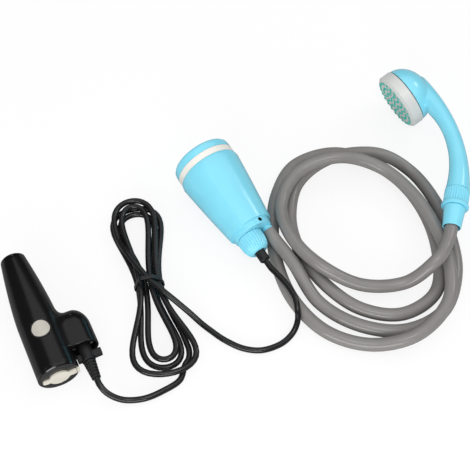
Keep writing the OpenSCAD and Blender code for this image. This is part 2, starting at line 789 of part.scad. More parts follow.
module cord_tie() {
  color(black) on_hank() rotate([90, 0, 0]) linear_extrude(tie_w, center = true) difference() {
    tie_outline(tie_t);
    tie_outline(0);
  }
}

// Pump pieces
module each_slot(n) { for (i = [0 : n - 1]) rotate([0, 0, 360 * i / n]) children(); }

module strainer_cap() {
  slot_in = 8;
  slot_len = 13;
  slot_w = 2.6;
  color(sky) on_pump() difference() {
    rotate_extrude() polygon([[0, 0], [cap_r - 4, 0], [cap_r - 1.8, 0.8], [cap_r - 0.4, 2.6], [cap_r, 4.8],
      [cap_r, cap_len - cap_gap], [skirt_r, cap_len - cap_gap], [skirt_r, cap_len + skirt_in],
      [skirt_r - skirt_t, cap_len + skirt_in], [skirt_r - skirt_t, base_t], [0, base_t]]);
    each_slot(strainer_slots) translate([slot_in, -slot_w / 2, -1]) cube([slot_len, slot_w, base_t + 2]);
  }
}

module filter_screen() {
  screen_t = 0.6;
  color(steel) on_pump() translate([0, 0, base_t + 0.1]) difference() {
    cylinder(r = skirt_r - skirt_t - seat, h = screen_t);
    for (k = [1 : 4]) each_slot(6 * k) translate([5 * k, 0, -1])
      cylinder(r = 1.5, h = screen_t + 2, $fn = 16);
  }
}

module inlet_ring() {
  color(pearl) on_pump() translate([0, 0, ring_at_z]) tube(cap_r, skirt_r + 0.4, ring_len);
}

function shell_inside(z) =
  shell_r - shell_wall - (shell_r - shoulder_r) * max(0, z - shell_at - shell_lead) / taper_len;

module suction_plate() {
  color(pearl) on_pump() translate([0, 0, shell_at]) tube(shell_inside(shell_at) - seat, eye_r, suction_t);
}

module impeller() {
  hub_r = 4;
  disc_t = 1.8;
  vane_t = 1.2;
  low = volute_at + 0.8;
  high = plate_z - 1;
  color(pearl) on_pump() difference() {
    union() {
      translate([0, 0, high - disc_t]) cylinder(r = impeller_r, h = disc_t);
      translate([0, 0, low]) cylinder(r = hub_r, h = high - low);
      each_slot(impeller_vanes) translate([0, hub_r / 2, low])
        cube([impeller_r - 1.2, vane_t, high - disc_t - low + eps]);
    }
    translate([0, 0, low - 1]) cylinder(r = shaft_r + 0.02, h = high - low + 2);
  }
}

module motor_rotor() {
  low = volute_at + 1.4;
  high = motor_top - can_t - 0.5;
  core_at = motor_at + cup_floor + can_t + 4;
  color(steel) on_pump() {
    translate([0, 0, low]) cylinder(r = shaft_r, h = high - low);
    translate([0, 0, core_at]) cylinder(r = motor_r - can_t - 0.8, h = motor_top - can_t - 4 - core_at);
  }
}

module each_plate_screw() {
  for (a = screw_angles) rotate([0, 0, a]) translate([screw_circle, 0, 0]) children();
}

module volute() {
  color(pearl) on_pump() difference() {
    translate([0, 0, volute_at]) tube(shell_inside(plate_z) - seat, volute_in, chamber_len);
    each_plate_screw() translate([0, 0, volute_at - 1])
      cylinder(r = plate_head_r + head_play, h = chamber_len + 2);
  }
}

module chamber_plate() {
  outer = shell_inside(motor_at) - seat;
  color(pearl) on_pump() difference() {
    translate([0, 0, plate_z]) cylinder(r = outer, h = chamber_t);
    translate([0, 0, plate_z + (chamber_t - groove_w) / 2]) tube(outer + 1, outer - groove_d, groove_w);
    translate([0, 0, plate_z - 1]) cylinder(r = shaft_r + 0.6, h = chamber_t + 2);
    translate([0, outlet_y, plate_z - 1]) cylinder(r = riser_bore, h = chamber_t + 2);
    each_plate_screw() translate([0, 0, plate_z - 1]) cylinder(r = plate_screw_r + 0.1, h = chamber_t + 2);
  }
}

module plate_seal() {
  outer = shell_inside(motor_at) - seat;
  color(rubber_black) on_pump() translate([0, 0, plate_z + (chamber_t - groove_w) / 2 + 0.1])
    tube(shell_inside(motor_at) - 0.05, outer - groove_d + 0.05, groove_w - 0.2);
}

module plate_screws() {
  color(steel) on_pump() each_plate_screw() {
    translate([0, 0, plate_z - plate_head_h]) cylinder(r = plate_head_r, h = plate_head_h);
    translate([0, 0, plate_z - eps]) cylinder(r = plate_screw_r, h = plate_screw_len);
  }
}

module shaft_seal() {
  color(rubber_black) on_pump() translate([0, 0, motor_at]) tube(seal_r, shaft_r + running, cup_floor);
}

module motor_cup() {
  color(pearl) on_pump() translate([0, 0, motor_at]) difference() {
    cylinder(r = motor_cup_r, h = cup_floor + motor_len + lid_t + 1);
    translate([0, 0, cup_floor]) cylinder(r = motor_r + motor_play, h = motor_len + lid_t + 2);
    translate([0, 0, -1]) cylinder(r = seal_r + 0.05, h = cup_floor + 2);
  }
}

module motor_can() {
  color(steel) on_pump() translate([0, 0, motor_at + cup_floor]) difference() {
    cylinder(r = motor_r, h = motor_len);
    translate([0, 0, can_t]) cylinder(r = motor_r - can_t, h = motor_len - 2 * can_t);
    translate([0, 0, -1]) cylinder(r = shaft_r + running, h = can_t + 2);
  }
}

module motor_lid() {
  color(pearl) on_pump() translate([0, 0, motor_top + 0.1]) tube(motor_r + motor_play - 0.1, 2.4, lid_t);
}

module riser_tube() {
  color(pearl) on_outlet() translate([0, 0, motor_at])
    tube(riser_r, riser_bore, neck_end - end_wall - motor_at);
}

module shell_solid(inset) {
  rotate_extrude() polygon([[0, shell_at], [cap_r + cap_gap - inset, shell_at],
    [shell_r - inset, shell_at + shell_lead], [shoulder_r - inset, shoulder_at - shoulder_round],
    [shoulder_r - shoulder_round - inset / 2, shoulder_at], [neck_r - inset, shoulder_at],
    [neck_r - inset - 0.6, neck_end], [0, neck_end]]);
}

module shell_hollow() {
  low = shell_at - 1;
  inside = shell_inside(shell_at);
  rotate_extrude() polygon([[0, low], [inside, low], [inside, shell_at + shell_lead],
    [shoulder_r - shell_wall, shoulder_at - shoulder_round], [neck_r - shell_wall, shoulder_at],
    [neck_r - shell_wall, neck_end - end_wall], [0, neck_end - end_wall]]);
}

module pump_shell() {
  color(sky) on_pump() difference() {
    union() {
      difference() {
        shell_solid(0);
        shell_hollow();
      }
      intersection() {
        shell_solid(shell_wall / 2);
        each_plate_screw() translate([0, 0, motor_at]) cylinder(r = shell_boss_r, h = shell_boss_len);
      }
      translate([0, -gland_y, neck_end - eps]) cylinder(r = stub_r, h = stub_len);
    }
    each_plate_screw() translate([0, 0, motor_at - 1])
      cylinder(r = plate_screw_r + 0.05, h = plate_screw_len);
    translate([0, outlet_y, neck_end - end_wall - 1]) cylinder(r = nipple_r + 0.1, h = end_wall + 2);
    translate([0, -gland_y, neck_end - end_wall - 1])
      cylinder(r = cord_r + 0.2, h = stub_len + end_wall + 2);
    translate([0, -gland_y, neck_end + stub_floor]) cylinder(r = cord_seal_r + 0.05, h = stub_len);
    rotate([0, 0, vent_angle]) translate([neck_r, 0, shoulder_at + 0.4 * neck_len]) rotate([0, 90, 0])
      cylinder(r = vent_r, h = 4 * shell_wall, center = true);
  }
}

module outlet_nipple() {
  foot = neck_end - end_wall;
  barb_at = neck_end + collar_len;
  barb_end = barb_at + hose_grip;
  color(sky) on_outlet() rotate_extrude() polygon([[nipple_bore, foot], [nipple_r, foot],
    [nipple_r, neck_end], [collar_r, neck_end], [collar_r, barb_at], [nipple_r, barb_at],
    [nipple_r, barb_end - 1], [nipple_r - 0.6, barb_end], [nipple_bore, barb_end]]);
}

// A circle with fine grooves round it
module ribbed(r, n, depth) {
  difference() {
    circle(r);
    for (i = [0 : n - 1]) rotate(360 * i / n) translate([r, 0]) circle(depth, $fn = 16);
  }
}

module gland_cap() {
  low = neck_end + 0.2;
  color(sky) on_gland() difference() {
    intersection() {
      rotate_extrude() polygon(concat([[0, low], [gland_r, low]],
        [for (a = [0 : 10 : 90]) [bush_r + 1.5 + (gland_r - bush_r - 1.5) * cos(a),
          neck_end + 5 + (gland_len - 5) * sin(a)]], [[0, neck_end + gland_len]]));
      translate([0, 0, neck_end]) linear_extrude(gland_len) ribbed(gland_r, gland_ribs, 0.4);
    }
    translate([0, 0, neck_end - 1]) cylinder(r = stub_r + 0.15, h = stub_len + 1.5);
    translate([0, 0, neck_end]) cylinder(r = bush_r + 0.1, h = gland_len + 1);
  }
}

module cord_seal() {
  color(rubber_black) on_gland() translate([0, 0, neck_end + stub_floor])
    tube(cord_seal_r, cord_r + 0.03, stub_len - stub_floor);
}

module lead_tail() {
  color(black) on_gland() translate([0, 0, neck_end - tail_in])
    cylinder(r = cord_r, h = bush_end - neck_end + tail_in);
}

module cord_bush() {
  low = neck_end + stub_len + 0.1;
  color(rubber_black) on_gland() rotate_extrude() polygon([[cord_r + 0.03, low], [bush_r, low],
    [bush_r, bush_end - 1], [bush_r - 0.8, bush_end], [cord_r + 0.03, bush_end]]);
}

// Hose
module hose() {
  sides = 10;
  bore = hose_bore / 2 / cos(180 / sides);
  color(hose_grey) on_floor()
    swept_pipe(hose_path, same(hose_d / 2, hose_path), same(bore, hose_path), sides);
}

// Shower head pieces
module dome(inset) {
  arc = [for (a = [0 : 7.5 : 82.5]) [cos(a), sin(a)]];
  rotate_extrude() polygon(concat([[0, -face_depth]],
    [for (q = arc) [(dome_r - inset) * q.x, -face_depth - (dome_depth - inset) * q.y]],
    [[0, inset - face_depth - dome_depth]]));
}

function handle_radius(a) = a < waist_angle
  ? handle_waist_r + handle_swell * pow((waist_angle - a) / (waist_angle - handle_from), 2)
  : handle_waist_r
    + (handle_end_r - handle_waist_r) * pow((a - waist_angle) / (handle_angle - waist_angle), 2);

module handle(inset, beyond) {
  turns = [for (i = [0 : handle_steps]) handle_from + (handle_angle - handle_from) * i / handle_steps];
  along = [for (a = turns) [cos(a), 0, sin(a)]];
  way_out = along[handle_steps];
  over = handle_at(handle_angle) + beyond * way_out;
  path = concat([for (a = turns) handle_at(a)], beyond > 0 ? [over] : []);
  r = concat([for (a = turns) handle_radius(a) - inset], beyond > 0 ? [handle_end_r - inset] : []);
  swept_bar(path, r, handle_sides, concat(along, [way_out]), [0, 1, 0]);
}

module shower_shell() {
  color(sky) on_head() difference() {
    union() {
      dome(0);
      handle(0, 0);
      translate([0, 0, -face_depth - eps]) cylinder(r = spigot_r, h = spigot_end + face_depth);
    }
    dome(head_wall);
    handle(head_wall, 1);
    translate([0, 0, -face_depth - eps - 1]) cylinder(r = spigot_r - head_wall, h = face_depth);
  }
}

module each_nozzle() {
  children();
  for (k = [1 : nozzle_rings])
    rotate([0, 0, k * ring_turn]) each_slot(6 * k) translate([k * nozzle_pitch, 0, 0]) children();
}

module face_plate() {
  color(silver) on_head() difference() {
    rotate_extrude() polygon([[0, -face_t], [face_r - face_t, -face_t], [face_r - face_t, -face_depth],
      [face_r, -face_depth], [face_r, -face_edge], [face_r - face_edge, 0], [0, 0]]);
    each_nozzle() translate([0, 0, -face_t - 1]) cylinder(r = hole_r, h = face_t + 2, $fn = 24);
  }
}

module nozzle_mat() {
  color(teal) on_head() difference() {
    union() {
      translate([0, 0, -face_t - 0.05 - mat_t]) cylinder(r = face_r - face_t - 2 * seat, h = mat_t);
      each_nozzle() translate([0, 0, -face_t - 0.1])
        cylinder(r1 = nozzle_r, r2 = tip_r, h = face_t + 0.1 + nozzle_out, $fn = 24);
    }
    each_nozzle() translate([0, 0, -face_t - mat_t - 1]) cylinder(r = jet_r, h = face_depth, $fn = 16);
  }
}

module water_divider() {
  top = -face_t - mat_t - 0.15;
  color(pearl) on_head() translate([0, 0, top - divider_t]) difference() {
    cylinder(r = face_r - face_t - 2 * seat, h = divider_t);
    each_slot(6) translate([10, -2, -1]) cube([10, 4, divider_t + 2]);
  }
}

module face_gasket() {
  top = -face_t - mat_t - divider_t - 0.25;
  color(rubber_black) on_head() translate([0, 0, spigot_end + 0.1])
    tube(spigot_r, spigot_r - head_wall, top - spigot_end - 0.1);
}

module handle_thread() {
  color(pearl) on_nut() {
    tube(thread_r, water_r, thread_out);
    translate([0, 0, -thread_in]) tube(thread_r - thread_step, water_r, thread_in + eps);
  }
}

module nut_washer() {
  color(rubber_black) on_nut() translate([0, 0, thread_out]) tube(thread_r - 0.3, water_r, washer_t);
}

module union_nut() {
  rim_len = 2.3;
  body_r = handle_end_r + 0.3;
  neck_at = tail_at + tail_flange_t + 0.2;
  color(sky) on_nut() difference() {
    union() {
      intersection() {
        translate([0, 0, nut_gap]) cylinder(r = body_r, h = nut_len - nut_gap);
        linear_extrude(nut_len) ribbed(body_r, nut_ribs, 0.6);
      }
      translate([0, 0, nut_len - rim_len - 1]) cylinder(r1 = body_r - 0.6, r2 = nut_rim_r, h = 1);
      translate([0, 0, nut_len - rim_len]) cylinder(r = nut_rim_r, h = rim_len);
    }
    translate([0, 0, -1]) cylinder(r = thread_r + running, h = neck_at + 1);
    cylinder(r = tail_stem_r + cap_gap, h = nut_len + 1);
  }
}

module hose_tail() {
  flange_end = tail_at + tail_flange_t;
  color(brass) on_nut() rotate_extrude() polygon([[tail_bore, tail_at], [thread_r - 0.3, tail_at],
    [thread_r - 0.3, flange_end], [tail_stem_r, flange_end], [tail_stem_r, hose_start],
    [nipple_r, hose_start],
    [nipple_r, hose_start + hose_grip - 1], [nipple_r - 0.6, hose_start + hose_grip],
    [tail_bore, hose_start + hose_grip]]);
}

module hose_cone() {
  low_r = 10.4;
  high_r = 8.6;
  mouth_at = hose_start + hose_grip - cone_at;
  mouth_play = 1.5;
  color(sky) on_nut() translate([0, 0, cone_at]) difference() {
    cylinder(r1 = low_r, r2 = high_r, h = cone_len);
    translate([0, 0, -1]) cylinder(r = hose_d / 2 + 0.1, h = cone_len + 2);
    translate([0, 0, mouth_at])
      cylinder(r1 = hose_d / 2, r2 = hose_d / 2 + mouth_play, h = cone_len - mouth_at + eps);
  }
}

pack_upper_shell();
pack_lower_shell();
nose_cap();
end_cap();
charge_port();
charge_cover();
cover_anchor();
power_button();
button_seal();
button_switch();
control_board();
battery_cells();
cell_cradle();
indicator_lens();
socket_plate();
socket_screws();
dc_socket();
pack_screws();
plug_body();
strain_relief();
lead_to_pack();
cord_hank();
lead_to_pump();
cord_tie();
strainer_cap();
filter_screen();
inlet_ring();
suction_plate();
impeller();
motor_rotor();
volute();
chamber_plate();
plate_seal();
plate_screws();
shaft_seal();
motor_cup();
motor_can();
motor_lid();
riser_tube();
pump_shell();
outlet_nipple();
gland_cap();
cord_seal();
lead_tail();
cord_bush();
hose();
shower_shell();
face_plate();
nozzle_mat();
water_divider();
face_gasket();
handle_thread();
nut_washer();
union_nut();
hose_tail();
hose_cone();
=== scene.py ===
"""Dresses the camp shower set.

Mouldings, hose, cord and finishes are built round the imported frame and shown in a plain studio.
"""

import json
import math

import bmesh
import bpy
from mathutils import Matrix, Vector


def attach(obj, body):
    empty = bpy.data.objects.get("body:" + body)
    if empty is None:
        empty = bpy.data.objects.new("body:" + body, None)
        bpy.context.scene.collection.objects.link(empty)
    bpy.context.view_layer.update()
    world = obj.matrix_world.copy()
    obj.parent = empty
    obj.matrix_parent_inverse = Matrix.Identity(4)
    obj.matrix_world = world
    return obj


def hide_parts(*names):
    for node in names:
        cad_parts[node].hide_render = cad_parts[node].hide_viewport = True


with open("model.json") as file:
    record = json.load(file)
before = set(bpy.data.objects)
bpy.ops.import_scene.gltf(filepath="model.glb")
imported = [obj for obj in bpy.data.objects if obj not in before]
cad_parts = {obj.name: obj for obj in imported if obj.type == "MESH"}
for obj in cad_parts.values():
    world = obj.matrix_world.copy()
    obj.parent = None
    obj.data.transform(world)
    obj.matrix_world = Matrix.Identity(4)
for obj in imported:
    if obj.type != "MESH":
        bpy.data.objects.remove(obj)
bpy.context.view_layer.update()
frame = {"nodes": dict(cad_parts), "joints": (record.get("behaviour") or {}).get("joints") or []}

bl_info = {
    "name": "Camp shower set",
    "version": (1, 0, 0),
    "blender": (4, 5, 0),
    "location": "View3D > Sidebar > Camp Shower",
    "description": "Dresses a portable shower's pump, battery pack, hose and head for a studio",
    "category": "Object",
}

MM = 0.001
JOINTS = {joint["name"]: joint for joint in frame["joints"]}

# The layout that the solids were drawn to, in millimetres, before it was centred on the origin
LAYOUT_CENTRE = Vector((3.76, 5.49, 0.0))
PACK_AT = Vector((-153.0, -159.0, 19.0))
POD_OFFSET = 29.0
POD_DROP = 5.0
HANK_AT = Vector((-82.0, -60.0, 0.0))
HANK_TURN = math.radians(12.2)
HEAD_AT = Vector((165.0, 143.5, 27.76))
HEAD_TURN = math.radians(211.5)
HEAD_TILT = math.radians(108)
HEAD_ROLL = math.radians(97.5)


def in_frame(point):
    """A point of the layout, in millimetres, as a point of the frame."""
    return (Vector(point) - LAYOUT_CENTRE) * MM


def joint_line(name):
    """A hinge's point and direction in the frame."""
    joint = JOINTS[name]
    return Vector(joint["pos_m"]), Vector(joint["axis"]).normalized()


def standing_on(foot, axis):
    """A frame whose Z runs along the axis from the foot, with X downwards and Y level."""
    level = Vector((0, 0, 1)).cross(axis).normalized()
    down = level.cross(axis)
    turn = Matrix((down, level, axis)).transposed()
    return Matrix.Translation(foot) @ turn.to_4x4()


def shift(x, y, z):
    """A move, in millimetres."""
    return Matrix.Translation(Vector((x, y, z)) * MM)


def turned(angle, axis):
    """A turn round one of the axes."""
    return Matrix.Rotation(angle, 4, axis)


PUMP_FRAME = standing_on(*joint_line("rotor_spin"))
NUT_FOOT, NUT_AXIS = joint_line("nut_turn")
NUT_FRAME = standing_on(NUT_FOOT, NUT_AXIS)
PACK_AXIS = Vector(JOINTS["pack_unplug"]["axis"]).normalized()
PACK_FRAME = standing_on(in_frame(PACK_AT), PACK_AXIS)
POD_FRAME = PACK_FRAME @ shift(POD_DROP, -POD_OFFSET, 0)
HANK_FRAME = Matrix.Translation(in_frame(HANK_AT)) @ turned(HANK_TURN, "Z")
HEAD_FRAME = (Matrix.Translation(in_frame(HEAD_AT)) @ turned(HEAD_TURN, "Z")
              @ turned(HEAD_TILT, "Y") @ turned(HEAD_ROLL, "Z"))


# Sizes, colours and lights that a user would change


def colour_setting(name, description, default):
    return bpy.props.FloatVectorProperty(
        name=name, description=description, subtype="COLOR", size=3, min=0, max=1, default=default)


def setting(name, description, default, **kind):
    return bpy.props.FloatProperty(name=name, description=description, default=default, **kind)


class ShowerColours(bpy.types.PropertyGroup):
    """Colours of the set's finishes."""

    sky_blue: colour_setting("Sky blue", "Pump, shower head and hose nut", (0.230, 0.70, 0.87))
    band_white: colour_setting("Band white", "Inlet ring and inner mouldings", (0.86, 0.84, 0.78))
    pack_black: colour_setting("Pack black", "Battery pack's case", (0.0055, 0.005, 0.0055))
    rubber_black: colour_setting("Rubber black", "Plug, bush and seals", (0.013, 0.013, 0.014))
    cord_black: colour_setting("Cord black", "Jacket of the cord", (0.012, 0.012, 0.013))
    hose_grey: colour_setting("Hose grey", "Vinyl of the hose", (0.225, 0.216, 0.209))
    silver: colour_setting("Silver", "Power button", (0.58, 0.55, 0.485))
    pearl: colour_setting("Pearl", "Shower face", (0.65, 0.665, 0.65))
    nozzle_teal: colour_setting("Nozzle teal", "Soft nozzles", (0.06, 0.55, 0.46))
    cover_white: colour_setting("Cover white", "Cover of the charge port", (0.62, 0.59, 0.51))


class ShowerSizes(bpy.types.PropertyGroup):
    """Sizes of the pieces that are modelled here."""

    hose_diameter: setting("Hose diameter", "Outside of the hose", 0.0125, unit="LENGTH")
    cord_diameter: setting("Cord diameter", "Outside of the cord", 0.0056, unit="LENGTH")


class StageSettings(bpy.types.PropertyGroup):
    """Camera and light of the studio."""

    distance: setting("Camera distance", "From the camera to the middle of the set", 0.965,
                      unit="LENGTH")
    elevation: setting("Camera elevation", "Height of the camera above the horizon",
                       math.radians(57), subtype="ANGLE")
    lens: setting("Lens", "Focal length on a 36 mm sensor", 75.83, subtype="DISTANCE_CAMERA")
    room_light: setting("Room light", "Strength of the even light from all sides", 0.65)
    room_reflection: setting("Room reflection", "Strength of the room in glossy faces", 0.05)
    ceiling_light: setting("Ceiling light", "Large softbox overhead", 15.0, subtype="POWER")
    key_light: setting("Key light", "Small softbox above the camera", 2.4, subtype="POWER")
    front_light: setting("Front light", "Low softbox in front", 11.0, subtype="POWER")
    side_light: setting("Side light", "Softbox on the right", 3.2, subtype="POWER")


def sizes():
    return bpy.context.scene.shower_sizes


# Shader tools

# Places of a Mix node's sockets for colours, which follow those for other kinds of value
MIX_FACTOR, MIX_FIRST, MIX_SECOND, MIX_RESULT = 0, 6, 7, 2

# Scales of the finishes' noises
FLOW_SCALE = 38.0
SKIN_SCALE = 1400.0
BLOOM_SCALE = 55.0
RIPPLE_SCALE = 420.0
FLAKE_SCALE = 3200.0
CLOUD_SCALE = 60.0
LINE_SCALE = 900.0
FINE_BUMP = 0.0001
RIPPLE_BUMP = 0.0002


class Socket:
    """A shader value; arithmetic on it adds Math nodes."""

    def __init__(self, sheet, socket):
        self.sheet = sheet
        self.socket = socket

    def _math(self, operation, first, second):
        return self.sheet.node("ShaderNodeMath", {"operation": operation}, {0: first, 1: second})

    def __add__(self, other):
        return self._math("ADD", self, other)

    def __radd__(self, other):
        return self._math("ADD", other, self)

    def __sub__(self, other):
        return self._math("SUBTRACT", self, other)

    def __mul__(self, other):
        return self._math("MULTIPLY", self, other)


class FinishSheet:
    """One material and the nodes that make its finish."""

    def __init__(self, name):
        self.material = bpy.data.materials.new(name)
        self.material.use_nodes = True
        self.tree = self.material.node_tree
        self.tree.nodes.clear()
        self.output = self.tree.nodes.new("ShaderNodeOutputMaterial")

    def node(self, kind, settings=None, inputs=None, output=0):
        """Adds a node with its settings and its sockets' values or links. Returns an output."""
        made = self.tree.nodes.new(kind)
        for key, value in (settings or {}).items():
            setattr(made, key, value)
        for key, value in (inputs or {}).items():
            if isinstance(value, Socket):
                self.tree.links.new(value.socket, made.inputs[key])
            else:
                made.inputs[key].default_value = value
        return Socket(self, made.outputs[output])

    def noise(self, scale, detail=3.0):
        place = self.node("ShaderNodeTexCoord", output="Object")
        inputs = {"Vector": place, "Scale": scale, "Detail": detail}
        return self.node("ShaderNodeTexNoise", {}, inputs, "Fac")

    def tint(self, factor, colour, darkest, lightest):
        """A colour that a factor takes from its darkest to its lightest shade."""
        inputs = {MIX_FACTOR: factor, MIX_FIRST: (*shade(colour, darkest), 1),
                  MIX_SECOND: (*shade(colour, lightest), 1)}
        return self.node("ShaderNodeMix", {"data_type": "RGBA"}, inputs, MIX_RESULT)

    def bump(self, height, strength, distance):
        inputs = {"Strength": strength, "Distance": distance, "Height": height}
        return self.node("ShaderNodeBump", {}, inputs)

    def surface(self, **inputs):
        """The Principled shader, with spaces in its socket names written as underscores."""
        named = {key.replace("_", " "): value for key, value in inputs.items()}
        self.show(self.node("ShaderNodeBsdfPrincipled", {}, named))
        return self.material

    def show(self, shader):
        self.tree.links.new(shader.socket, self.output.inputs["Surface"])


def shade(colour, factor):
    return tuple(min(1.0, channel * factor) for channel in colour)


def varied(base, noise, swing):
    """A value that a noise moves up and down."""
    return base + (noise - 0.5) * swing


def moulded(name, colour, roughness, coat, mottle=0.06):
    """Glossy moulded plastic: faint flow marks in its colour and gloss, and a fine skin."""
    sheet = FinishSheet(name)
    flow = sheet.noise(FLOW_SCALE)
    skin = sheet.noise(SKIN_SCALE, 2.0)
    return sheet.surface(
        Base_Color=sheet.tint(flow, colour, 1 - mottle, 1 + mottle),
        Roughness=varied(varied(roughness, flow, 0.10), skin, 0.05),
        Coat_Weight=coat,
        Coat_Roughness=0.06,
        Normal=sheet.bump(skin, 0.05, FINE_BUMP),
    )


def soft_vinyl(name, colour, roughness):
    """Extruded or cast rubber and vinyl: a dull bloom and shallow ripples."""
    sheet = FinishSheet(name)
    bloom = sheet.noise(BLOOM_SCALE, 4.0)
    ripple = sheet.noise(RIPPLE_SCALE, 2.0)
    return sheet.surface(
        Base_Color=sheet.tint(bloom, colour, 0.88, 1.12),
        Roughness=varied(roughness, bloom, 0.14),
        Normal=sheet.bump(ripple, 0.06, RIPPLE_BUMP),
    )


def silver_lacquer(name, colour, metallic):
    """Silver paint with fine flakes on plastic."""
    sheet = FinishSheet(name)
    flakes = sheet.noise(FLAKE_SCALE, 1.0)
    cloud = sheet.noise(CLOUD_SCALE)
    return sheet.surface(
        Base_Color=sheet.tint(flakes, colour, 0.86, 1.14),
        Metallic=metallic,
        Roughness=varied(0.34, cloud, 0.12),
        Normal=sheet.bump(flakes, 0.05, FINE_BUMP),
    )


def bare_metal(name, colour, roughness):
    """Turned or stamped metal with a fine grain."""
    sheet = FinishSheet(name)
    lines = sheet.noise(LINE_SCALE, 2.0)
    return sheet.surface(
        Base_Color=sheet.tint(lines, colour, 0.85, 1.1),
        Metallic=1.0,
        Roughness=varied(roughness, lines, 0.15),
        Normal=sheet.bump(lines, 0.05, FINE_BUMP),
    )


# The mixed finishes by name, filled in by the finishes operator
FINISHES = {}


# Mesh and curve tools

WELD = 1e-6
FINE_WELD = 1e-7
LINE_ROUNDNESS = 6


def as_mesh(name, shape):
    """Turns a bmesh into a mesh."""
    mesh = bpy.data.meshes.new(name)
    shape.to_mesh(mesh)
    shape.free()
    return mesh


def placed(name, data):
    """Adds an object of a mesh, curve, light or camera to the scene."""
    made = bpy.data.objects.new(name, data)
    bpy.context.scene.collection.objects.link(made)
    return made


def new_piece(name, shape, body, finish, replaces):
    """Makes an object of a bmesh, gives it a finish and lets it ride on a body."""
    mesh = as_mesh(name, shape)
    piece = placed(name, mesh)
    mesh.materials.append(FINISHES[finish])
    for face in mesh.polygons:
        face.use_smooth = True
    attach(piece, body)
    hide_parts(*replaces)
    return piece


def between(points, index, share):
    """A point on the smooth curve through the points, part of the way from one to the next."""
    last = len(points) - 1
    before, start = points[max(index - 1, 0)], points[index]
    end, after = points[index + 1], points[min(index + 2, last)]
    return 0.5 * (2 * start + (end - before) * share
                  + (2 * before - 5 * start + 4 * end - after) * share ** 2
                  + (3 * start - before - 3 * end + after) * share ** 3)


def smooth_route(points, steps):
    """A smooth line through the points, straight between the first two and the last two."""
    spans = range(1, len(points) - 2)
    curved = [between(points, i, j / steps) for i in spans for j in range(steps)]
    return [points[0]] + curved + points[-2:]


def smooth_step(value):
    value = max(0.0, min(1.0, value))
    return value * value * (3 - 2 * value)


def lathe(profile, steps, ring=False):
    """Spins a profile of (radius, height) points, in millimetres, round Z. A ring's is closed."""
    shape = bmesh.new()
    knots = [shape.verts.new((radius * MM, 0, height * MM)) for radius, height in profile]
    pairs = list(zip(knots, knots[1:])) + ([(knots[-1], knots[0])] if ring else [])
    line = [shape.edges.new(pair) for pair in pairs]
    bmesh.ops.spin(shape, geom=knots + line, cent=(0, 0, 0), axis=(0, 0, 1), angle=math.tau,
                   steps=steps, use_merge=True)
    bmesh.ops.remove_doubles(shape, verts=shape.verts, dist=WELD)
    bmesh.ops.recalc_face_normals(shape, faces=shape.faces)
    return shape


def soften(shape, width, angle, segments=3):
    """Rounds the edges that are sharper than an angle, over a width in millimetres."""
    sharp = [edge for edge in shape.edges
             if len(edge.link_faces) == 2 and edge.calc_face_angle(0) > math.radians(angle)]
    bmesh.ops.bevel(shape, geom=sharp, offset=width * MM, offset_type="OFFSET", affect="EDGES",
                    segments=segments, profile=0.5, material=-1, clamp_overlap=True)
    return shape


def rib(shape, count, depth, low, high, fade):
    """Presses shallow grooves into a spun shape between two heights."""
    for vertex in shape.verts:
        height = vertex.co.z / MM
        reach = smooth_step((height - low) / fade) * smooth_step((high - height) / fade)
        radius = vertex.co.xy.length
        if reach > 0 and radius > 0:
            turn = math.atan2(vertex.co.y, vertex.co.x)
            groove = (0.5 + 0.5 * math.cos(count * turn)) ** 2
            vertex.co.xy *= 1 - depth * MM * reach * groove / radius


def put(shape, place):
    bmesh.ops.transform(shape, matrix=place, verts=shape.verts)
    return shape


def baked(piece):
    """Replaces a piece's mesh with the result of its modifiers."""
    bpy.context.view_layer.update()
    seen = piece.evaluated_get(bpy.context.evaluated_depsgraph_get())
    result = bpy.data.meshes.new_from_object(seen)
    piece.modifiers.clear()
    old = piece.data
    piece.data = result
    result.name = piece.name
    bpy.data.meshes.remove(old)


def cut(piece, shape, painted_shade_lining=None):
    """Cuts a closed shape out of a piece. The faces of the cut can have a finish of their own, a
    dark one for painted shade in a hole.
    """
    mesh = as_mesh("cutter", shape)
    if painted_shade_lining:
        mesh.materials.append(FINISHES[painted_shade_lining])
    cutter = placed("cutter", mesh)
    step = piece.modifiers.new("cut", "BOOLEAN")
    step.operation = "DIFFERENCE"
    step.solver = "EXACT"
    step.material_mode = "TRANSFER" if painted_shade_lining else "INDEX"
    step.object = cutter
    baked(piece)
    bpy.data.objects.remove(cutter)
    bpy.data.meshes.remove(mesh)


def even_out(piece):
    """Lets large flat faces set the shading next to rounded edges."""
    piece.modifiers.new("even shading", "WEIGHTED_NORMAL")


def laid_out(points):
    return [in_frame(point) for point in points]


def route_length(route):
    return sum((b - a).length for a, b in zip(route, route[1:]))


def round_line(name, route, diameter, finish, replaces):
    """A round hose or cord along a route, as one curve."""
    curve = bpy.data.curves.new(name, "CURVE")
    curve.dimensions = "3D"
    curve.bevel_depth = diameter / 2
    curve.bevel_resolution = LINE_ROUNDNESS
    curve.use_fill_caps = True
    spline = curve.splines.new("POLY")
    spline.points.add(len(route) - 1)
    for knot, place in zip(spline.points, route):
        knot.co = (*place, 1)
    spline.use_smooth = True
    piece = placed(name, curve)
    curve.materials.append(FINISHES[finish])
    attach(piece, "set")
    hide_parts(*replaces)
    return piece


# Hose and cord

